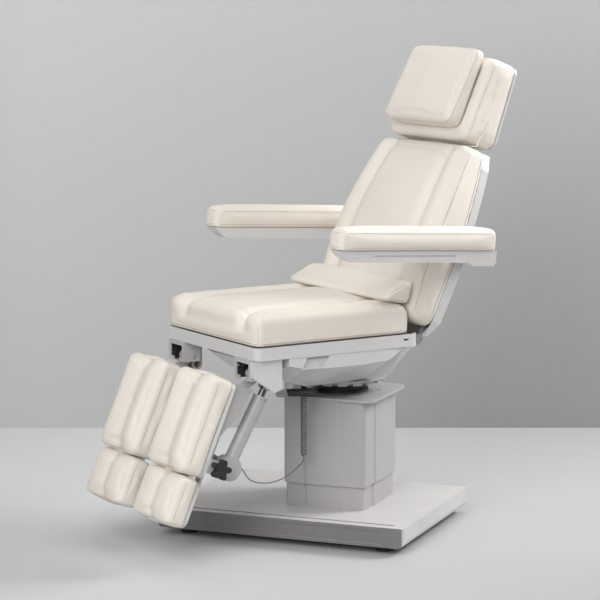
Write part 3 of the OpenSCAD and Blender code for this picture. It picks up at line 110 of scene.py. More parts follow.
class Mat:
    """A node tree with a few short ways of adding to it."""

    def __init__(self, name, color, rough, metal=0.0, coat=0.0, coat_rough=0.1, spec=0.5):
        self.m = bpy.data.materials.new(name)
        self.m.use_nodes = True
        self.t = self.m.node_tree
        self.b = self.t.nodes["Principled BSDF"]
        for socket, value in (("Base Color", (*color, 1)), ("Roughness", rough), ("Metallic", metal),
                              ("Coat Weight", coat), ("Coat Roughness", coat_rough),
                              ("Sheen Weight", 0.0), ("Specular IOR Level", spec), ("IOR", 1.5)):
            self.b.inputs[socket].default_value = value
        self.height = None
        coords = self.node("ShaderNodeTexCoord")
        self.co, self.normal = coords.outputs["Object"], coords.outputs["Normal"]

    def node(self, kind, **props):
        n = self.t.nodes.new(kind)
        for k, v in props.items():
            setattr(n, k, v)
        return n

    def link(self, a, b):
        self.t.links.new(a, b)

    def mapped(self, scale):
        n = self.node("ShaderNodeMapping")
        n.inputs["Scale"].default_value = scale
        self.link(self.co, n.inputs["Vector"])
        return n.outputs["Vector"]

    def xyz(self):
        n = self.node("ShaderNodeSeparateXYZ")
        self.link(self.co, n.inputs["Vector"])
        return n.outputs

    def dot(self, vec, way):
        n = self.node("ShaderNodeVectorMath", operation="DOT_PRODUCT")
        self.link(vec, n.inputs[0])
        n.inputs[1].default_value = way
        return n.outputs["Value"]

    def math(self, kind, a, b=0.0):
        n = self.node("ShaderNodeMath", operation=kind)
        for socket, v in zip(n.inputs, (a, b)):
            if isinstance(v, float):
                socket.default_value = v
            else:
                self.link(v, socket)
        return n.outputs["Value"]

    def noise(self, scale, detail=3.0, rough=0.5, vec=None, distortion=0.0):
        n = self.node("ShaderNodeTexNoise")
        for socket, v in (("Scale", scale), ("Detail", detail), ("Roughness", rough),
                          ("Distortion", distortion)):
            n.inputs[socket].default_value = v
        self.link(vec or self.co, n.inputs["Vector"])
        return n.outputs["Fac"]

    def cells(self, scale):
        """Distance to the edge of small cells."""
        n = self.node("ShaderNodeTexVoronoi", feature="DISTANCE_TO_EDGE")
        n.inputs["Scale"].default_value = scale
        self.link(self.co, n.inputs["Vector"])
        return n.outputs["Distance"]

    def ramp(self, fac, a, b, pa=0.0, pb=1.0):
        n = self.node("ShaderNodeValToRGB")
        for e, at, color in zip(n.color_ramp.elements, (pa, pb), (a, b)):
            e.position, e.color = at, (*color, 1)
        self.link(fac, n.inputs["Fac"])
        return n.outputs["Color"]

    def remap(self, fac, a, b, c, d):
        n = self.node("ShaderNodeMapRange")
        for k, v in zip(("From Min", "From Max", "To Min", "To Max"), (a, b, c, d)):
            n.inputs[k].default_value = v
        self.link(fac, n.inputs["Value"])
        return n.outputs["Result"]

    def mix(self, fac, a, b, blend="MIX"):
        n = self.node("ShaderNodeMix", data_type="RGBA", blend_type=blend)
        for socket, v in ((n.inputs[0], fac), (n.inputs[6], a), (n.inputs[7], b)):
            if isinstance(v, float):
                socket.default_value = v
            elif isinstance(v, tuple):
                socket.default_value = (*v, 1)
            else:
                self.link(v, socket)
        return n.outputs[2]

    def bump(self, fac, dist, strength):
        n = self.node("ShaderNodeBump")
        n.inputs["Strength"].default_value = strength
        n.inputs["Distance"].default_value = dist
        self.link(fac, n.inputs["Height"])
        if self.height:
            self.link(self.height, n.inputs["Normal"])
        self.height = n.outputs["Normal"]
        self.link(self.height, self.b.inputs["Normal"])

    def base(self, col):
        self.link(col, self.b.inputs["Base Color"])

    def vary_rough(self, fac, low, high):
        """Roughness from low to high over the middle of a noise."""
        self.link(self.remap(fac, *MIDDLE, low, high), self.b.inputs["Roughness"])

    def attr(self, name):
        n = self.node("ShaderNodeAttribute")
        n.attribute_name = name
        return n.outputs["Fac"]


def scaled(color, f):
    return tuple(c * f for c in color)


def tinted(color, tint):
    return tuple(c * f for c, f in zip(color, tint))


def grey(v):
    return (v, v, v)


LEATHER_DARK, LEATHER_LITE = (0.965, 0.958, 0.945), 1.015    # the clouds' tints
# painted shade: the tint of the leather in its creases and grooves
CREASE_SHADE_TINT = (0.78, 0.78 * 0.965, 0.78 * 0.92)


def leather(name, color, rough=0.56):
    """Coated leather: soft clouds of tone, pores, painted shade in the creases and a fine grain."""
    m = Mat(name, color, rough, coat=0.03, coat_rough=0.4, spec=0.34)
    lite = tuple(min(1, c * LEATHER_LITE) for c in color)
    tone = m.ramp(m.noise(6, 4, 0.5), tinted(color, LEATHER_DARK), lite, 0.3, 0.66)
    grain = m.cells(620)
    tone = m.mix(1.0, tone, m.remap(grain, 0.0, 0.2, 0.965, 1.0), "MULTIPLY")
    # painted shade: the leather darkens where the attribute marks a crease or groove
    m.base(m.mix(m.attr("crease_shade"), tone, tinted(color, CREASE_SHADE_TINT)))
    m.vary_rough(m.noise(30, 4, 0.6), rough - 0.07, rough + 0.09)
    m.bump(m.noise(20, 3, 0.55, distortion=0.4), 0.0014, 0.32)
    m.bump(m.noise(150, 3, 0.6, distortion=0.8), 0.0002, 0.3)
    m.bump(grain, 0.00016, 0.45)
    return m.m


def moulded(name, color, rough):
    """Moulded plastic with a light orange peel."""
    m = Mat(name, color, rough, coat=0.25, coat_rough=0.12)
    m.base(m.ramp(m.noise(6, 3, 0.5), scaled(color, 0.955), color, 0.3, 0.62))
    m.vary_rough(m.noise(45, 4, 0.6), rough - 0.05, rough + 0.07)
    m.bump(m.noise(240, 2, 0.5), 0.00012, 0.35)
    m.bump(m.noise(16, 2, 0.5), 0.0006, 0.15)
    return m.m


def paint_finish(m, rough):
    """The roughness and the grain that all the paints share."""
    m.vary_rough(m.noise(60, 3, 0.6), rough - 0.06, rough + 0.08)
    m.bump(m.noise(520, 2, 0.55), 0.00009, 0.3)
    return m.m


def painted(name, color, rough):
    """Powder coat with faint scuffs and specks."""
    m = Mat(name, color, rough, coat=0.1, coat_rough=0.25)
    scuff = m.ramp(m.noise(5, 5, 0.6, distortion=0.4), scaled(color, 0.965), color, 0.33, 0.6)
    speck = m.ramp(m.noise(310, 2, 0.6), grey(0.985), grey(1), 0.35, 0.5)
    m.base(m.mix(1.0, scuff, speck, "MULTIPLY"))
    return paint_finish(m, rough)


def base_paint_and_shade(rough=0.42):
    """The base cover's paint, with painted shade: the long side's inset panel, on the one side that faces this
    way, is painted a darker grey than the rest to stand for shade.
    """
    m = Mat("paint_base_and_shade", (0.60, 0.585, 0.575), rough, coat=0.08, coat_rough=0.3)
    across = (cos(radians(BASE_TURN)), sin(radians(BASE_TURN)), 0)
    # painted shade: darkens the faces turned one way, below the top edge
    side = m.remap(m.dot(m.normal, across), 0.80, 0.95, 0.0, 1.0)
    below_edge = m.remap(m.xyz()["Z"], 0.084, 0.091, 1.0, 0.0)
    tone = m.ramp(m.noise(7, 5, 0.6), (0.575, 0.56, 0.55), (0.61, 0.595, 0.585), 0.33, 0.6)
    dark = m.ramp(m.noise(260, 3, 0.7), (0.17, 0.162, 0.16), (0.22, 0.212, 0.209), 0.35, 0.65)
    m.base(m.mix(m.math("MULTIPLY", side, below_edge), tone, dark))
    return paint_finish(m, rough)


WINDOW_X, WINDOW_HALF = 0.200, 0.0386              # the hinge blocks' windows: middle and half width
WINDOW_FRONT, WINDOW_REAR, WINDOW_LOW = -0.4668, -0.4135, 0.530


def block_paint(rough=0.40):
    """Painted hinge blocks, near black inside their open windows."""
    m = Mat("paint_blocks", (0.50, 0.487, 0.478), rough, coat=0.1, coat_rough=0.25)
    at = m.xyz()
    aside = m.math("SUBTRACT", m.math("ABSOLUTE", m.math("SUBTRACT", at["X"], AX.x)), WINDOW_X)
    inside = m.math("LESS_THAN", m.math("ABSOLUTE", aside), WINDOW_HALF)
    for kind, axis, limit in (("GREATER_THAN", "Y", AX.y + WINDOW_FRONT), ("GREATER_THAN", "Z", WINDOW_LOW),
                              ("LESS_THAN", "Y", AX.y + WINDOW_REAR)):
        inside = m.math("MULTIPLY", inside, m.math(kind, at[axis], limit))
    tone = m.ramp(m.noise(5, 5, 0.6), (0.48, 0.467, 0.458), (0.505, 0.492, 0.483), 0.33, 0.6)
    dark = m.ramp(m.noise(60, 3, 0.6), (0.016, 0.016, 0.017), (0.03, 0.03, 0.031), 0.35, 0.65)
    m.base(m.mix(inside, tone, dark))
    return paint_finish(m, rough)


def metal(name, color, rough, stretch):
    """Metal with drawn lines along the axes that stretch makes coarse."""
    m = Mat(name, color, rough, metal=1.0)
    lines = m.noise(3, 3, 0.6, m.mapped(stretch))
    m.base(m.ramp(lines, scaled(color, 0.86), color, 0.3, 0.7))
    m.vary_rough(lines, max(0.03, rough - 0.06), rough + 0.1)
    m.bump(lines, 0.0001, 0.3)
    return m.m


def dark_plastic(name, color, rough):
    m = Mat(name, color, rough, spec=0.45)
    lite = tuple(c * 1.35 + 0.004 for c in color)
    m.base(m.ramp(m.noise(40, 4, 0.6), scaled(color, 0.8), lite, 0.3, 0.72))
    m.vary_rough(m.noise(90, 3, 0.6), rough - 0.08, rough + 0.1)
    m.bump(m.noise(700, 2, 0.5), 0.00015, 0.5)
    return m.m


CREAM = (0.815, 0.760, 0.687)
M_LEATHER = leather("leather_cream", CREAM)
M_PIPING = leather("leather_piping", scaled(CREAM, 0.80), rough=0.42)
M_SEAM = dark_plastic("seam_thread", (0.46, 0.41, 0.36), 0.6)
M_SHELL = moulded("shell_white", (0.66, 0.65, 0.64), 0.32)
M_PAINT = painted("paint_white", (0.44, 0.427, 0.42), 0.40)
M_BASE_SHADED = base_paint_and_shade()
M_BLOCK = block_paint()
M_STEEL = metal("steel_brushed", (0.56, 0.57, 0.58), 0.32, (6, 6, 260))
M_ZINC = metal("steel_zinc", (0.66, 0.66, 0.65), 0.26, (120, 120, 120))
M_CHROME = metal("chrome", (0.80, 0.80, 0.81), 0.08, (60, 60, 60))
M_ROD = metal("rod_dark", (0.16, 0.16, 0.165), 0.30, (40, 40, 300))
M_BLACK = dark_plastic("black_plastic", (0.018, 0.018, 0.020), 0.42)
M_CORD = moulded("cord_grey", (0.13, 0.129, 0.128), 0.42)
M_ELASTIC = leather("elastic_white", (0.82, 0.80, 0.77), rough=0.7)

# the material of each carried-over node, by how its name starts; the others are painted
NODE_LOOKS = (
    (M_STEEL, ("base_frame", "guide_column", "inner_column", "tilt_yoke", "seat_frame", "back_frame",
               "guide_bar")),
    (M_ZINC, ("hinge_pins", "latch")),
    (M_BLACK, ("turntable_race", "lock_lever", "back_drive", "cord_gland", "star_knob", "arm_hub",
               "foot_front", "foot_rear")),
    (M_ROD, ("drive_rod",)),
    (M_CHROME, ("head_posts",)),
    (M_SHELL, ("seat_pan", "back_shell", "head_shell", "leg_hinge_covers", "calf_shell", "foot_shell",
               "arm_bracket")),
    (M_BASE_SHADED, ("base_cover",)),
    (M_BLOCK, ("leg_hinge_blocks",)),
)
for n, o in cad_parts.items():
    o.data.materials.clear()
    o.data.materials.append(next((m for m, starts in NODE_LOOKS if n.startswith(starts)), M_PAINT))


# ---------------------------------------------------------------- mesh helpers
def lerp(a, b, s):
    return a + (b - a) * s


def smooth01(x):
    x = min(1.0, max(0.0, x))
    return x * x * (3 - 2 * x)


def gauss(d, w):
    return exp(-(d / w) ** 2)


def even(v):
    """The same value all along a pad."""
    return lambda y: v


def smooth_shaded(me):
    me.polygons.foreach_set("use_smooth", [True] * len(me.polygons))


def edited(me, *steps):
    """Runs steps of bmesh on a mesh."""
    bm = bmesh.new()
    bm.from_mesh(me)
    for step in steps:
        step(bm)
    bm.to_mesh(me)
    bm.free()
    return me


def soften(bm):
    bmesh.ops.smooth_vert(bm, verts=bm.verts, factor=0.5, use_axis_x=True, use_axis_y=True, use_axis_z=True)


def refine(bm):
    bmesh.ops.subdivide_edges(bm, edges=bm.edges, cuts=1, use_grid_fill=True, smooth=0.0)


def from_rings(name, rings, closed_ends=True):
    """A mesh over rings of points; each ring is closed."""
    n = len(rings[0])
    verts = [tuple(p) for r in rings for p in r]
    faces = []
    for i in range(len(rings) - 1):
        for j in range(n):
            k = (j + 1) % n
            faces.append((i * n + j, i * n + k, (i + 1) * n + k, (i + 1) * n + j))
    if closed_ends:
        faces.append(tuple(reversed(range(n))))
        faces.append(tuple(range((len(rings) - 1) * n, len(rings) * n)))
    me = bpy.data.meshes.new(name)
    me.from_pydata(verts, [], faces)
    return edited(me, lambda bm: bmesh.ops.recalc_face_normals(bm, faces=bm.faces))


END_ARC = (0, 15, 30, 45, 60, 75)
RIM_ARC = (15, 30, 45, 60, 75)
PAD_LOW = 0.0006                                   # a pad's underside over its board
SIDE_FALL, SIDE_LEAN, SIDE_MID = 0.75, 0.02, 0.4   # shares that draw in the sides at the ends and the foot
RIM_SHARE = 0.62                                   # most of a pad's height that its rim rounds
BOARD_STEP = 0.008                                 # from the board's edge down to the rim's foot
FOOT_SHARES = (0.66, 0.33, 0, -0.33, -0.66)        # points across a flat underside


def pad_rings(wide, l, thick, rim, near, far, crown, draw, inset, corner=0.012, around=15, mids=22,
              under=None, hollow=None):
    """Rings of a cushion on z = 0 with its length l along y, as the CAD form but finer.
    wide(y) and thick(y) are its sizes; rim, near and far round its top edge at the sides and the ends,
    corner rounds its outline, crown swells the top and draw pulls the sides in.
    under(y) is how far the rim reaches below z = 0, hollow(y) half the width of the flat board."""
    stations = [(-l / 2 + near * (1 - cos(radians(a))), 1 - sin(radians(a)), near) for a in END_ARC]
    stations += [(lerp(-l / 2 + near, l / 2 - far, i / mids), 0.0, near) for i in range(mids + 1)]
    stations += [(l / 2 - far * (1 - cos(radians(a))), 1 - sin(radians(a)), far) for a in reversed(END_ARC)]
    rings = []
    for y, fall, end_r in stations:
        s = 2 * y / l
        t = thick(y) - inset
        half = wide(y) / 2 - SIDE_FALL * rim * fall - draw * (1 - s * s) - inset
        past = corner - (l / 2 - abs(y))
        if past > 0:
            half -= corner - sqrt(max(0.0, corner * corner - past * past))
        edge = t - end_r * fall
        r = min(rim, RIM_SHARE * edge)
        bulge = crown * (1 - s ** 4) * (1 - fall * fall)
        u = under(y) if under else 0.0
        side = [(half - SIDE_LEAN * t, -u + PAD_LOW), (half, lerp(-u, edge, SIDE_MID)), (half, edge - r)]
        side += [(half - r + r * cos(radians(a)), edge - r + r * sin(radians(a))) for a in RIM_ARC]
        top = []
        for i in range(around):
            x = lerp(half - r, r - half, i / (around - 1))
            top.append((x, edge + bulge * (1 - (x / (half - r)) ** 2)))
        if hollow:
            h = hollow(y)
            flat = [(-h, PAD_LOW), (0, PAD_LOW), (h, PAD_LOW)]
            foot = [(-h - BOARD_STEP, -u + PAD_LOW)] + flat + [(h + BOARD_STEP, -u + PAD_LOW)]
        else:
            foot = [(-half * f, PAD_LOW) for f in FOOT_SHARES]
        ring = side + top + [(-x, z) for x, z in reversed(side)] + foot
        y2 = y * (1 - 2 * inset / l)
        rings.append([Vector((x, y2, z)) for x, z in ring])
    return rings


def applied(o):
    """Puts an object's modifiers into its mesh."""
    dg = bpy.context.evaluated_depsgraph_get()
    me = bpy.data.meshes.new_from_object(o.evaluated_get(dg))
    old = o.data
    o.modifiers.clear()
    o.data = me
    if old.users == 0:
        bpy.data.meshes.remove(old)


CLOTH = {"quality": 4, "mass": 0.25, "tension_stiffness": 12, "compression_stiffness": 12,
         "shear_stiffness": 6, "bending_stiffness": 1.2, "use_pressure": True, "uniform_pressure_force": 4.0}
CLOTH_FRAMES = 18
COARSE, FINE = 0.0055, 0.0045                      # voxels of the wide pads and of the small ones
SLIDE_SHARE = 0.25                                 # how much of its sideways slide a point keeps


def swell(o, cap, pin):
    """Cloth pressure swells a closed form, outwards only and no further than cap."""
    start = [(v.co.copy(), v.normal.copy()) for v in o.data.vertices]
    if pin:
        g = o.vertex_groups.new(name="pin")
        for v in o.data.vertices:
            if pin(v.co):
                g.add([v.index], 1.0, "REPLACE")
    mod = o.modifiers.new("c", "CLOTH")
    for k, v in CLOTH.items():
        setattr(mod.settings, k, v)
    mod.settings.effector_weights.gravity = 0
    if pin:
        mod.settings.vertex_group_mass = "pin"
    mod.collision_settings.use_collision = False
    mod.point_cache.frame_start, mod.point_cache.frame_end = 1, CLOTH_FRAMES
    for f in range(1, CLOTH_FRAMES + 1):
        scene.frame_set(f)
    applied(o)
    scene.frame_set(1)
    o.vertex_groups.clear()
    for v, (a, n) in zip(o.data.vertices, start):
        d = v.co - a
        out = d.dot(n)
        slide = d - n * out
        v.co = a + n * min(cap, max(0.0, out)) + slide * min(SLIDE_SHARE, cap / max(TINY, slide.length))
    edited(o.data, soften)


def below(z):
    """Keeps a pad's underside still."""
    return lambda c: c.z < z


def inflate(name, rings, cap, voxel=COARSE, pin=None):
    """An even mesh round the rings, swollen by cloth pressure; pin(co) keeps points still."""
    o = linked(name, from_rings(name + "_start", rings))
    mod = o.modifiers.new("r", "REMESH")
    mod.mode, mod.voxel_size, mod.use_smooth_shade = "VOXEL", voxel, True
    applied(o)
    swell(o, cap, pin)
    edited(o.data, refine, soften)
    return o


def shape(o, move_fn):
    """move_fn(co, normal) returns a displacement and a value of painted shade in the creases for each vertex,
    in the pad's own frame.
    """
    me = o.data
    normals = [v.normal.copy() for v in me.vertices]
    crease_shade = me.attributes.new("crease_shade", "FLOAT", "POINT")
    values = []
    for v, n in zip(me.vertices, normals):
        d, c = move_fn(v.co, n)
        v.co += d
        values.append(c)
    crease_shade.data.foreach_set("value", values)
    me.update()


def rise(x, start, span):
    """Smoothly from 0 at start to 1 a span further."""
    return smooth01((x - start) / span)


def wrinkle(c, sx, sy, at):
    """Smooth noise, the same through a pad's thickness; at picks the pattern."""
    return noise.noise(Vector((c.x * sx, c.y * sy, at)))


def waved(size, sx, sy, at, low, span):
    """A form of slow waves above the height low, without creases."""
    return lambda c, n: (n * (size * wrinkle(c, sx, sy, at) * rise(c.z, low, span)), 0.0)


def place(o, M, body, node):
    """Moves a finished pad from its own frame M to the part's, in place of its node."""
    o.data.transform(M)
    o.data.materials.clear()
    o.data.materials.append(M_LEATHER)
    smooth_shaded(o.data)
    o.data.update()
    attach(o, body)
    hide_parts(node)


def mirrored(o, name, body, node=None):
    """A copy on the other side of the chair."""
    me = o.data.copy()
    me.transform(Matrix.Translation((2 * AX.x, 0, 0)) @ Matrix.Scale(-1, 4, (1, 0, 0)))
    me.flip_normals()
    c = linked(name, me)
    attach(c, body)
    if node:
        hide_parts(node)


def tube_mesh(name, pts, r, sides=8, cyclic=False):
    """A round tube through points, its frame carried along without twist."""
    pts = [Vector(p) for p in pts]
    n = len(pts)

    def along(i):
        a, b = (pts[(i - 1) % n], pts[(i + 1) % n]) if cyclic else (pts[max(i - 1, 0)], pts[min(i + 1, n - 1)])
        return (b - a).normalized()

    t = along(0)
    u = t.orthogonal().normalized()
    turns = [2 * pi * k / sides for k in range(sides)]
    rings = []
    for i in range(n):
        t2 = along(i)
        u = (t.rotation_difference(t2) @ u)
        u = (u - t2 * u.dot(t2)).normalized()
        v = t2.cross(u)
        t = t2
        rings.append([pts[i] + (u * cos(a) + v * sin(a)) * r for a in turns])
    if cyclic:
        rings.append(rings[0])
    me = from_rings(name, rings, closed_ends=not cyclic)
    if cyclic:
        edited(me, lambda bm: bmesh.ops.remove_doubles(bm, verts=bm.verts, dist=WELD))
    return me


def tube(name, pts, r, mat, sides=8, cyclic=False):
    me = tube_mesh(name, pts, r, sides, cyclic)
    me.materials.append(mat)
    smooth_shaded(me)
    return linked(name, me)


def through(p, steps):
    """A smooth curve through points, with steps to each span."""
    out = []
    for i in range(len(p) - 1):
        a, b, c, d = p[max(i - 1, 0)], p[i], p[i + 1], p[min(i + 2, len(p) - 1)]
        for k in range(steps):
            s = k / steps
            out.append(0.5 * ((2 * b) + (c - a) * s + (2 * a - 5 * b + 4 * c - d) * s * s
                              + (3 * b - a - 3 * c + d) * s ** 3))
    out.append(p[-1])
    return out


# ---------------------------------------------------------------- seams
RAY_FAR, RAY_CORNER = 0.2, 0.02
CORNER_ARC = (0, 22, 45, 67)
SEAM_SIDES, SEAM_R, EDGE_SEAM_R = 6, 0.0007, 0.0011    # sides and radii of a sewn line
SIDE_WAYS = ((1, 0), (0, 1), (-1, 0), (0, -1))


def rim_rays(w, l, z, n=36, slope=0.0):
    """Rays from outside onto the side of a pad, round it at height z, which changes along it by slope."""
    hw, hl = w / 2 - RAY_CORNER, l / 2 - RAY_CORNER
    corners = ((hw, hl), (-hw, hl), (-hw, -hl), (hw, -hl))
    starts = []
    for k, way in enumerate(SIDE_WAYS):
        (x0, y0), (x1, y1) = corners[k - 1], corners[k]
        starts += [(lerp(x0, x1, i / n), lerp(y0, y1, i / n), *way) for i in range(n)]
        starts += [(x1, y1, cos(radians(90 * k + a)), sin(radians(90 * k + a))) for a in CORNER_ARC]
    return [((x + dx * RAY_FAR, y + dy * RAY_FAR, z + slope * (y / l)), (-dx, -dy, 0))
            for x, y, dx, dy in starts]


def on_surface(o, M, rays):
    """Points where rays (origin, direction, both in frame M) meet an object's mesh."""
    bm = bmesh.new()
    bm.from_mesh(o.data)
    tree = BVHTree.FromBMesh(bm)
    bm.free()
    hits = [tree.ray_cast(M @ Vector(at), (M.to_3x3() @ Vector(way)).normalized())[0] for at, way in rays]
    return [h for h in hits if h]


def seam(name, o, M, rays, body, r=SEAM_R, cyclic=True, mat=M_SEAM):
    """A sewn line laid where rays from outside meet a pad."""
    pts = on_surface(o, M, rays)
    n = len(pts)
    inner = [(pts[i - 1] + pts[i] * 2 + pts[(i + 1) % n]) / 4 for i in range(n)]
    pts = inner if cyclic else [pts[0]] + inner[1:-1] + [pts[-1]]
    line = tube(name, pts, r, mat, SEAM_SIDES, cyclic)
    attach(line, body)
    return line


# ---------------------------------------------------------------- cord
CORD_R = 0.0018
CURL_R, CURLS, CURL_STEPS = 0.0082, 28, 16
COIL_X, COIL_Y = 0.107, -0.201
COIL_TOP, COIL_LOW = 0.446, 0.262
GLAND_ZS, COIL_END_Z = (0.454, 0.4522, 0.4504), 0.2576
# millimetres from the column's axis, from the coil's end to the drive of the near leg rest
LEAD = [(107, -201, 254), (107, -201, 252.2), (107, -201, 250.3), (109, -206, 244), (114, -219, 237),
        (120, -238, 228), (128, -262, 218), (137, -290, 210), (148, -321, 206), (159, -353, 206),
        (171, -385, 211), (183, -415, 219), (194, -441, 231), (203, -459, 245), (210, -470, 258),
        (213, -477, 267), (215, -482, 273), (215, -484.5, 274), (215, -486.3, 274), (215, -488.2, 274)]


def coil_points():
    pts = [Vector((COIL_X, COIL_Y, z)) for z in GLAND_ZS]
    n = CURL_STEPS * CURLS
    for i in range(n + 1):
        r = CURL_R * min(1.0, 2 * i / CURL_STEPS, 2 * (n - i) / CURL_STEPS)
        a = 2 * pi * i / CURL_STEPS
        pts.append(Vector((COIL_X + r * cos(a), COIL_Y + r * sin(a), lerp(COIL_TOP, COIL_LOW, i / n))))
    pts.append(Vector((COIL_X, COIL_Y, COIL_END_Z)))
    return pts


route = [p + AX for p in coil_points() + through([Vector(q) / 1000 for q in LEAD], steps=4)]
cord = tube("drive_cord", route, CORD_R, M_CORD, sides=10)
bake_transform(cord)
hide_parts("curly_cord", "lead_cord")

# ---------------------------------------------------------------- seat and back cushions
CHANNEL = 0.64                                     # the channels' place as a share of the half width
CHANNEL_W, RIDGE_W, PULL_W, BELLY_W = 0.024, 0.030, 0.05, 0.10
# the last two: the width and the strength of the painted shade along the channels
THREAD_DEEP, THREAD_W, CREASE_SHADE_W, CREASE_SHADE = 0.0015, 0.006, 0.005, 0.3
WAVE, WAVE_X, WAVE_Y = 0.0012, 7, 4                # slow waves: height and how many to a metre
PULL, PULL_X, PULL_Y = 0.0008, 12, 46              # short pulls off the channels


def channelled(c, x0, top, deep, ridge, ridge_at, belly, shift, pull_at):
    """Displacement and painted shade of a top with a drawn-in channel at x0 on each side, a ridge outside it,
    a belly between the two, slow waves and short pulls that run off the channels. The painted shade lies
    along the bottom of each channel. shift and pull_at
    pick the patterns of the waves and the pulls."""
    d, crease_shade = 0.0, 0.0
    for s in (-1, 1):
        at = c.x - s * x0
        d -= (deep * gauss(at, CHANNEL_W) + THREAD_DEEP * gauss(at, THREAD_W)) * top
        d += ridge * gauss(c.x - s * (x0 + ridge_at), RIDGE_W) * top
        # painted shade along the bottom of each channel
        crease_shade = max(crease_shade, CREASE_SHADE * gauss(at, CREASE_SHADE_W) * top)
    d += belly * gauss(c.x, BELLY_W) * top
    wave = Vector((c.x * WAVE_X + shift[0], c.y * WAVE_Y + shift[1], c.z * WAVE_X))
    d += WAVE * noise.noise(wave) * top
    d += PULL * gauss(abs(c.x) - x0, PULL_W) * wrinkle(c, PULL_X, PULL_Y, pull_at) * top
    return d, crease_shade


SEAT_W, SEAT_L, SEAT_T = 0.540, 0.543, 0.092
SEAT_REAR, SEAT_FRONT, SEAT_Z = 0.081, -0.462, 0.636
SEAT_M = AXIS @ move(0, (SEAT_REAR + SEAT_FRONT) / 2, SEAT_Z)
SEAT_STILL_LOW, SEAT_STILL_SIDE, SEAT_STILL_HIGH = 0.012, 0.012, 0.060    # where the cloth is held
SEAT_CORNER_ZS = [0.012 + 0.0065 * i for i in range(10)]
RAY_OUT = 0.5                                      # where rays onto a wide cushion start


def seat():
    w, l = SEAT_W, SEAT_L
    rings = pad_rings(even(w), l, even(SEAT_T), rim=0.022, near=0.020, far=0.040, crown=0.012, draw=0.002,
                      inset=0.001, corner=0.018)
    o = inflate("seat_leather", rings, cap=0.006,
                pin=lambda c: (c.z < SEAT_STILL_LOW
                               or abs(c.x) > w / 2 - SEAT_STILL_SIDE and c.z < SEAT_STILL_HIGH))

    def form(c, n):
        top = rise(c.z, 0.030, 0.050) * rise(l / 2 - c.y, 0.01, 0.06)
        deep = 0.0125 + 0.008 * rise(-c.y, 0.15, 0.1)
        d, crease_shade = channelled(c, CHANNEL * w / 2, top, deep, ridge=0.0060, ridge_at=0.048, belly=0.0035,
                               shift=(0, 0), pull_at=3)
        return n * d, crease_shade

    shape(o, form)
    place(o, SEAT_M, "seat", "seat_cushion")
    seam("seat_seam_low", o, SEAT_M, rim_rays(w, l, z=0.010, n=40), "seat", r=EDGE_SEAM_R)
    for s in (-1, 1):
        for e in (-1, 1):
            rays = [((s * RAY_OUT, e * RAY_OUT * l / w, z), (-s, -e * l / w, 0)) for z in SEAT_CORNER_ZS]
            seam("seat_corner_%d%d" % (s > 0, e > 0), o, SEAT_M, rays, "seat", cyclic=False, r=0.0008)


BACK_LOW, BACK_TOP = 0.040, 0.612                  # the cushion's ends, up the back from its hinge
BACK_L = BACK_TOP - BACK_LOW
BACK_W_LOW, BACK_W_MID, BACK_W_TOP = 0.540, 0.554, 0.474
BACK_T, BACK_THIN_LOW, BACK_THIN_TOP = 0.103, 0.025, 0.038
BACK_WIDEST, BACK_THICKEST = 0.5, 0.41             # shares of the height
BACK_RIM_LOW, BOARD_HALF, BOARD_LOW_HALF, BOARD_LOW_TO = 0.0075, 0.150, 0.230, 0.11
BACK_OFF = 0.002                                   # the board in front of the hinge's plane
BACK_M = BACK @ move(0, BACK_OFF, BACK_LOW + BACK_L / 2) @ rotx(90)
BACK_SEAM_LOW, BACK_SEAM_TOP, BACK_SEAM_DOWN, BACK_SEAM_REAR = 0.02, 0.03, 0.019, 0.004
BACK_SEAM_STEPS, TOP_SEAM_STEPS, TOP_SEAM_HALF, CORNER_REACH = 60, 30, 0.2, 0.3


def ease(u):
    return 1 - cos(pi / 2 * u)


def back_w(z):
    m = BACK_WIDEST * BACK_TOP
    if z < m:
        return lerp(BACK_W_LOW, BACK_W_MID, 1 - ease(1 - z / m))
    return lerp(BACK_W_MID, BACK_W_TOP, ease((z - m) / (BACK_TOP - m)))


def back_t(z):
    m = BACK_THICKEST * BACK_TOP
    if z < m:
        return BACK_T - BACK_THIN_LOW * ease(1 - z / m)
    return BACK_T - BACK_THIN_TOP * ease((z - m) / (BACK_TOP - m))


def up_back(y):
    """Height up the back of a point of the cushion's own frame."""
    return y + BACK_LOW + BACK_L / 2


def back_seam_rays(height):
    """Rays onto the sides and the top of the back cushion, at a height over its board that changes with z."""
    x, y, zt = BACK_W_TOP / 2 - BACK_SEAM_TOP, BACK_L / 2 - BACK_SEAM_TOP, height(BACK_TOP)
    ys = [lerp(-BACK_L / 2 + BACK_SEAM_LOW, y, i / BACK_SEAM_STEPS) for i in range(BACK_SEAM_STEPS + 1)]
    xs = [lerp(TOP_SEAM_HALF, -TOP_SEAM_HALF, i / TOP_SEAM_STEPS) for i in range(TOP_SEAM_STEPS + 1)]

    def corner(s, arc):
        return [((s * (x + CORNER_REACH * cos(a)), y + CORNER_REACH * sin(a), zt), (-s * cos(a), -sin(a), 0))
                for a in map(radians, arc)]

    return ([((RAY_OUT, q, height(up_back(q))), (-1, 0, 0)) for q in ys]
            + corner(1, CORNER_ARC[1:])
            + [((q, RAY_OUT, zt), (0, -1, 0)) for q in xs]
            + corner(-1, CORNER_ARC[:0:-1])
            + [((-RAY_OUT, q, height(up_back(q))), (1, 0, 0)) for q in reversed(ys)])


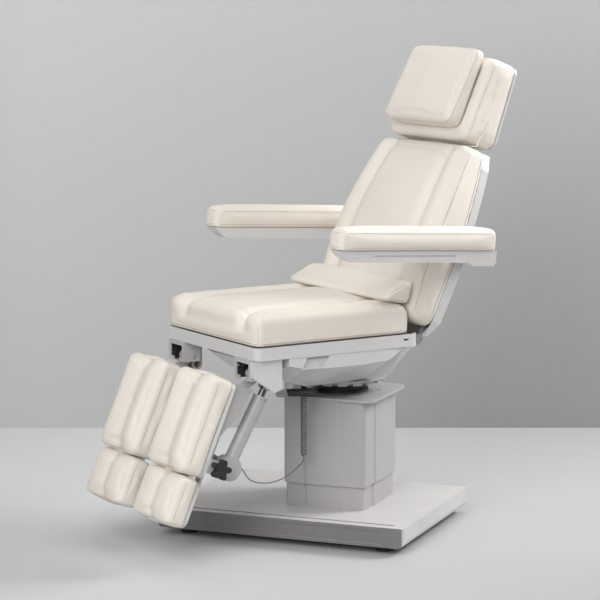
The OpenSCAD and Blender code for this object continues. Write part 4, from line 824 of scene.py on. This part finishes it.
def backrest():
    rings = pad_rings(lambda y: back_w(up_back(y)), BACK_L, lambda y: back_t(up_back(y)), rim=0.024,
                      near=0.050, far=0.022, crown=0.011, draw=0.001, inset=0.001, corner=0.026, mids=30,
                      under=even(BACK_RIM_LOW),
                      hollow=lambda y: BOARD_LOW_HALF if up_back(y) < BOARD_LOW_TO else BOARD_HALF)
    o = inflate("back_leather", rings, cap=0.006, pin=below(0.010))

    def form(c, n):
        top = rise(c.z, 0.040, 0.035) * smooth01((BACK_L / 2 - 0.004 - c.y) / 0.03 + 0.35)
        x0 = CHANNEL * back_w(up_back(c.y)) / 2
        d, crease_shade = channelled(c, x0, top, deep=0.0115, ridge=0.0035, ridge_at=0.046, belly=0.002,
                               shift=(5, 1), pull_at=8)
        return n * d, crease_shade

    shape(o, form)
    place(o, BACK_M, "back", "back_cushion")
    for name, height, r in (("back_seam_front", lambda z: back_t(z) - BACK_SEAM_DOWN, 0.001),
                            ("back_seam_rear", even(BACK_SEAM_REAR), 0.0012)):
        seam(name, o, BACK_M, back_seam_rays(height), "back", r=r, cyclic=False)


seat()
backrest()

# ---------------------------------------------------------------- leg pads
LEG_MID, LEG_W, LEG_PAD_Y = 0.151, 0.226, -0.0905
CALF_L, CALF_T, CALF_DOWN = 0.2985, 0.074, (0.047 + 0.341) / 2
CALF_RIDGE, CALF_RIDGE_AT = 0.004, 0.068
TOE_L, TOE_T, TOE_DOWN = 0.151, 0.060, (0.349 + 0.494) / 2
NOTCH, NOTCH_W, NOTCH_L = 0.010, 0.018, 0.022      # the dip in the toe pad's far edge
CALF_M = LEG @ move(LEG_MID, LEG_PAD_Y, -CALF_DOWN) @ rotx(90)
TOE_M = LEG @ move(LEG_MID, LEG_PAD_Y, -TOE_DOWN) @ rotx(90)


def fold(x, deep, parts):
    """A soft fold along the middle of a pad, from parts of (share, width)."""
    return -deep * sum(share * gauss(x, w) for share, w in parts)


def calf():
    rings = pad_rings(even(LEG_W), CALF_L, even(CALF_T), rim=0.022, near=0.022, far=0.022, crown=0.010,
                      draw=0.004, inset=0.0005, corner=0.016)
    o = inflate("calf_leather_right", rings, cap=0.006, voxel=FINE, pin=below(0.008))

    def form(c, n):
        top = rise(c.z, 0.030, 0.035)
        d = fold(c.x, 0.021, ((0.75, 0.046), (0.25, 0.018)))
        d += CALF_RIDGE * (gauss(c.x - CALF_RIDGE_AT, RIDGE_W) + gauss(c.x + CALF_RIDGE_AT, RIDGE_W))
        d += 0.0012 * gauss(c.x, 0.05) * wrinkle(c, 14, 42, at=6) + 0.0014 * wrinkle(c, 12, 8, at=3)
        d *= top
        # the second value: painted shade along the middle fold
        return n * d if abs(n.z) < 0.5 else Vector((0, 0, d)), 0.2 * gauss(c.x, 0.006) * top

    shape(o, form)
    place(o, CALF_M, "leg_right", "calf_cushion_right")
    return o


def toe():
    rings = pad_rings(even(LEG_W), TOE_L, even(TOE_T), rim=0.018, near=0.014, far=0.018, crown=0.008,
                      draw=0.001, inset=0.0005, corner=0.018)
    o = inflate("toe_leather_right", rings, cap=0.006, voxel=FINE, pin=below(0.006))

    def form(c, n):
        top = rise(c.z, 0.020, 0.028)
        d = fold(c.x, 0.013, ((0.7, 0.034), (0.3, 0.014))) + 0.0012 * wrinkle(c, 14, 14, at=9)
        notch = gauss(c.x, NOTCH_W) * rise(c.y, TOE_L / 2 - NOTCH_L, NOTCH_L)
        # the second value: painted shade along the middle fold and in the notch's dip
        return Vector((0, -NOTCH * notch, d * top)), max(0.2 * gauss(c.x, CREASE_SHADE_W) * top, CREASE_SHADE * notch)

    shape(o, form)
    place(o, TOE_M, "toe_right", "foot_cushion_right")
    return o


calf_o, toe_o = calf(), toe()
mirrored(calf_o, "calf_leather_left", "leg_left", "calf_cushion_left")
mirrored(toe_o, "toe_leather_left", "toe_left", "foot_cushion_left")
for name, body, o, M, l, high in (("calf", "leg", calf_o, CALF_M, CALF_L, 0.050),
                                  ("toe", "toe", toe_o, TOE_M, TOE_L, 0.040)):
    for tag, z in (("side", high), ("rear", 0.006)):
        line = seam("%s_seam_%s_right" % (name, tag), o, M, rim_rays(LEG_W, l, z, n=26), body + "_right")
        mirrored(line, "%s_seam_%s_left" % (name, tag), body + "_left")

# ---------------------------------------------------------------- arm pads
ARM_W, ARM_L, ARM_T = 0.080, 0.565, 0.067
ARM_M = ARM @ move(0.324 + ARM_W / 2, -0.547 + ARM_L / 2, 0.028)


def arm():
    rings = pad_rings(even(ARM_W), ARM_L, even(ARM_T), rim=0.018, near=0.022, far=0.018, crown=0.005,
                      draw=0.001, inset=0.002, around=9, mids=30)
    o = inflate("arm_leather_right", rings, cap=0.0045, voxel=FINE, pin=below(0.004))
    shape(o, waved(0.0008, 20, 9, at=4, low=0.02, span=0.03))
    place(o, ARM_M, "arm_right", "arm_pad_right")
    return o


arm_o = arm()
arm_lines = {tag: seam("arm_seam_%s_right" % tag, arm_o, ARM_M, rim_rays(ARM_W, ARM_L, z), "arm_right")
             for tag, z in (("top", 0.052), ("low", 0.010))}
mirrored(arm_o, "arm_leather_left", "arm_left", "arm_pad_left")
for tag, line in arm_lines.items():
    mirrored(line, "arm_seam_%s_left" % tag, "arm_left")

# ---------------------------------------------------------------- head, pillow and lumbar
HEAD_W, HEAD_L, HEAD_T = 0.424, 0.278, (0.124, 0.098)
HEAD_M = BACK @ move(0, 0.052, 0.627) @ rotx(94) @ move(0, HEAD_L / 2, 0)
POST_ROOM = (-0.086, -0.007, 0.600), (0.086, 0.12, 0.720)    # round the head posts, in the back's frame
PILLOW_W, PILLOW_L, PILLOW_T, PIPING_R = 0.360, 0.256, (0.056, 0.035), 0.0016
PILLOW_M = BACK @ move(0, -0.0755, 0.652 + PILLOW_L / 2) @ rotx(90)


def taper(ends, l):
    """From the first value at a pad's near end to the second at its far end."""
    return lambda y: lerp(*ends, (y + l / 2) / l)


def cut_box(o, lo, hi, M):
    """Cuts a box, given in the frame M, out of a mesh object."""
    me = bpy.data.meshes.new("cut")
    middle = [(a + b) / 2 for a, b in zip(lo, hi)]
    sizes = Matrix.Diagonal((*[b - a for a, b in zip(lo, hi)], 1))
    edited(me, lambda bm: bmesh.ops.create_cube(bm, size=1.0),
           lambda bm: bm.transform(M @ Matrix.Translation(middle) @ sizes))
    k = linked("cut", me)
    mod = o.modifiers.new("b", "BOOLEAN")
    mod.operation, mod.solver, mod.object = "DIFFERENCE", "FAST", k
    applied(o)
    bpy.data.objects.remove(k)
    bpy.data.meshes.remove(me)


def head():
    rings = pad_rings(even(HEAD_W), HEAD_L, taper(HEAD_T, HEAD_L), rim=0.022, near=0.022, far=0.022,
                      crown=0.006, draw=0.001, inset=0.001, corner=0.030)
    o = inflate("head_leather", rings, cap=0.003, pin=below(0.010))
    shape(o, waved(0.0016, 9, 9, at=14, low=0.02, span=0.03))
    o.data.transform(HEAD_M)
    cut_box(o, *POST_ROOM, BACK)
    o.data.transform(HEAD_M.inverted())
    place(o, HEAD_M, "head", "head_cushion")
    front = rim_rays(HEAD_W, HEAD_L, z=0.095, n=30, slope=HEAD_T[1] - HEAD_T[0])
    seam("head_seam_front", o, HEAD_M, front, "head")
    seam("head_seam_rear", o, HEAD_M, rim_rays(HEAD_W, HEAD_L, z=0.008, n=30), "head", r=EDGE_SEAM_R)


def pillow():
    rings = pad_rings(even(PILLOW_W), PILLOW_L, taper(PILLOW_T, PILLOW_L), rim=0.015, near=0.018, far=0.012,
                      crown=0.007, draw=0.001, inset=0.001, corner=0.026)
    o = inflate("pillow_leather", rings, cap=0.004, voxel=FINE, pin=below(0.003))
    shape(o, waved(0.0016, 11, 11, at=24, low=0.010, span=0.02))
    place(o, PILLOW_M, "pillow", "head_pillow")
    front = rim_rays(PILLOW_W, PILLOW_L, z=0.035, n=30, slope=-0.020)
    seam("pillow_piping", o, PILLOW_M, front, "pillow", r=PIPING_R, mat=M_PIPING)
    seam("pillow_seam_rear", o, PILLOW_M, rim_rays(PILLOW_W, PILLOW_L, z=0.006, n=30), "pillow")


# the wedge's section as shares of its half depth and half height, and how its ends close
WEDGE = [(-0.93, -0.76), (-0.98, -0.58), (-0.80, -0.30), (0.55, 0.88), (0.80, 1.0), (0.98, 0.80),
         (0.78, -0.75), (0.62, -1.26), (0.42, -1.22), (-0.1, -0.98)]
WEDGE_ENDS = [(0, 0.7), (0.01, 0.82), (0.025, 0.92), (0.05, 0.97), (0.1, 1), (0.3, 1), (0.5, 1),
              (0.7, 1), (0.9, 1), (0.95, 0.97), (0.975, 0.92), (0.99, 0.82), (1, 0.7)]
WEDGE_SPAN_Y, WEDGE_SPAN_Z = 1.96, 1.98             # the node's depth and height in those shares
WEDGE_INSET, WEDGE_END_INSET, WEDGE_SEAM_IN = 0.0005, 0.003, 0.012


def lumbar():
    lo, hi = (Vector(v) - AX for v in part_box("lumbar_cushion"))
    mid = (lo + hi) / 2
    hw = (hi.x - lo.x) / 2 - WEDGE_END_INSET
    hy, hz = (hi.y - lo.y) / WEDGE_SPAN_Y, (hi.z - lo.z) / WEDGE_SPAN_Z
    rings = [[Vector((lerp(-hw, hw, e), mid.y + k * p * (hy - WEDGE_INSET),
                      hi.z - hz + k * q * (hz - WEDGE_INSET))) for p, q in WEDGE] for e, k in WEDGE_ENDS]
    o = inflate("lumbar_leather", rings, cap=0.003, voxel=FINE)
    shape(o, lambda c, n: (n * (0.0008 * wrinkle(c, 11, 16, at=34)), 0.0))
    place(o, AXIS, "lumbar", "lumbar_cushion")
    turns = [radians(a) for a in range(0, 360, 10)]
    for s, side in ((-1, "left"), (1, "right")):
        x = s * (hi.x - WEDGE_SEAM_IN)
        rays = [((x, mid.y + 0.3 * cos(a), mid.z + 0.3 * sin(a)), (0, -cos(a), -sin(a))) for a in turns]
        seam("lumbar_end_" + side, o, AXIS, rays, "lumbar", r=EDGE_SEAM_R)


head()
pillow()
lumbar()

# the pillow's elastic, millimetres in the back's frame: down beside the head and across behind it
STRAP_R = 0.0016
STRAP = [(215, 0, 709), (215, -8, 669), (215, -18, 633), (201, -20, 617.5), (0, -20, 617.5)]
half_strap = through([Vector(q) / 1000 for q in STRAP], steps=6)
strap_path = half_strap + [Vector((-q.x, q.y, q.z)) for q in reversed(half_strap[:-1])]
strap = tube("pillow_strap", [BACK @ q for q in strap_path], STRAP_R, M_ELASTIC)
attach(strap, "head")
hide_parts("pillow_elastic")

# ---------------------------------------------------------------- stage
FLOOR_HALF, WALL_HALF, WALL_HIGH, WALL_BEHIND = 30, 14, 12, 1.57
# painted light and shade on the floor and the wall, as gradients: from and to in metres, then the value at each
FLOOR_SHADE_SIDE, FLOOR_SHADE_FRONT = (-0.4, 1.1, 1.0, 0.74), (0.3, 2.4, 1.0, 0.72)
WALL_LIGHT_SIDE, WALL_LIGHT_UP, WALL_LIT_LEFT, WALL_SHADED_RIGHT = (-1.1, 0.9, 0.0, 1.0), (0.0, 1.7, 0.86, 1.06), 0.61, 0.42
level = Vector((sin(CAM_AZ), -cos(CAM_AZ), 0))     # from the chair to the camera, level


def panel(name, corners, m):
    me = bpy.data.meshes.new(name)
    me.from_pydata(corners, [], [(0, 1, 2, 3)])
    me.materials.append(m.m)
    return linked(name, me)


fm = Mat("floor_pale_shaded", grey(0.60), 0.6, spec=0.25)
floor_tone = fm.ramp(fm.noise(1.5, 4, 0.6), grey(0.59), grey(0.61), 0.3, 0.7)
# painted shade: the floor darkens to the right and towards the front
shade_to_right = fm.remap(fm.dot(fm.co, right), *FLOOR_SHADE_SIDE)
shade_to_front = fm.remap(fm.dot(fm.co, level), *FLOOR_SHADE_FRONT)
fm.base(fm.mix(1.0, fm.mix(1.0, floor_tone, shade_to_right, "MULTIPLY"), shade_to_front, "MULTIPLY"))
signs = ((-1, -1), (1, -1), (1, 1), (-1, 1))
floor = panel("floor", [(s * FLOOR_HALF, t * FLOOR_HALF, 0) for s, t in signs], fm)

wm = Mat("wall_grey_lit", grey(0.5), 0.8, spec=0.2)
place_on = wm.xyz()
# painted light: the wall is lighter at the left, darker at the right and lighter towards the top
across = wm.ramp(wm.remap(place_on["X"], *WALL_LIGHT_SIDE), grey(WALL_LIT_LEFT), grey(WALL_SHADED_RIGHT))
wm.base(wm.mix(1.0, across, wm.remap(place_on["Z"], *WALL_LIGHT_UP), "MULTIPLY"))
wm.vary_rough(wm.noise(3, 2), 0.78, 0.85)
# seen from behind, the wall lets the view through
facing, clear = wm.node("ShaderNodeNewGeometry"), wm.node("ShaderNodeBsdfTransparent")
one_way = wm.node("ShaderNodeMixShader")
for k, out in enumerate((facing.outputs["Backfacing"], wm.b.outputs["BSDF"], clear.outputs["BSDF"])):
    wm.link(out, one_way.inputs[k])
wm.link(one_way.outputs["Shader"], wm.t.nodes["Material Output"].inputs["Surface"])
wall = panel("wall", [(-WALL_HALF, 0, 0), (WALL_HALF, 0, 0), (WALL_HALF, 0, WALL_HIGH),
                      (-WALL_HALF, 0, WALL_HIGH)], wm)
wall.matrix_world = axes_at(right, -level, (0, 0, 1), AX - level * WALL_BEHIND)

WORLD_COLOR, WORLD_STRENGTH = (0.62, 0.625, 0.63, 1), 0.62
world = bpy.data.worlds.new("world")
scene.world = world
world.use_nodes = True
sky = world.node_tree.nodes["Background"].inputs
sky["Color"].default_value, sky["Strength"].default_value = WORLD_COLOR, WORLD_STRENGTH


def area(name, pos, aim_z, size, power):
    """A square lamp that looks at the column's axis at the height aim_z."""
    d = bpy.data.lights.new(name, "AREA")
    d.shape, d.size, d.energy = "SQUARE", size, power
    o = linked(name, d)
    o.location = pos
    o.rotation_euler = (AX + Vector((0, 0, aim_z)) - pos).to_track_quat("-Z", "Y").to_euler()


LAMP_Z, TOP_LAMP = Vector((0, 0, 2.7)), Vector((0, 0.2, 4.2))
KEY_RIGHT, KEY_BACK, FRONT_LEFT, FRONT_OUT = 3.2, 0.8, 1.5, 3.8
area("key", AX + right * KEY_RIGHT - level * KEY_BACK + LAMP_Z, aim_z=0.6, size=1.6, power=138)
area("front", AX - right * FRONT_LEFT + level * FRONT_OUT + LAMP_Z, aim_z=0.9, size=3.0, power=125)
area("top", AX + TOP_LAMP, aim_z=0.5, size=2.6, power=30)

scene.view_settings.view_transform = "Standard"
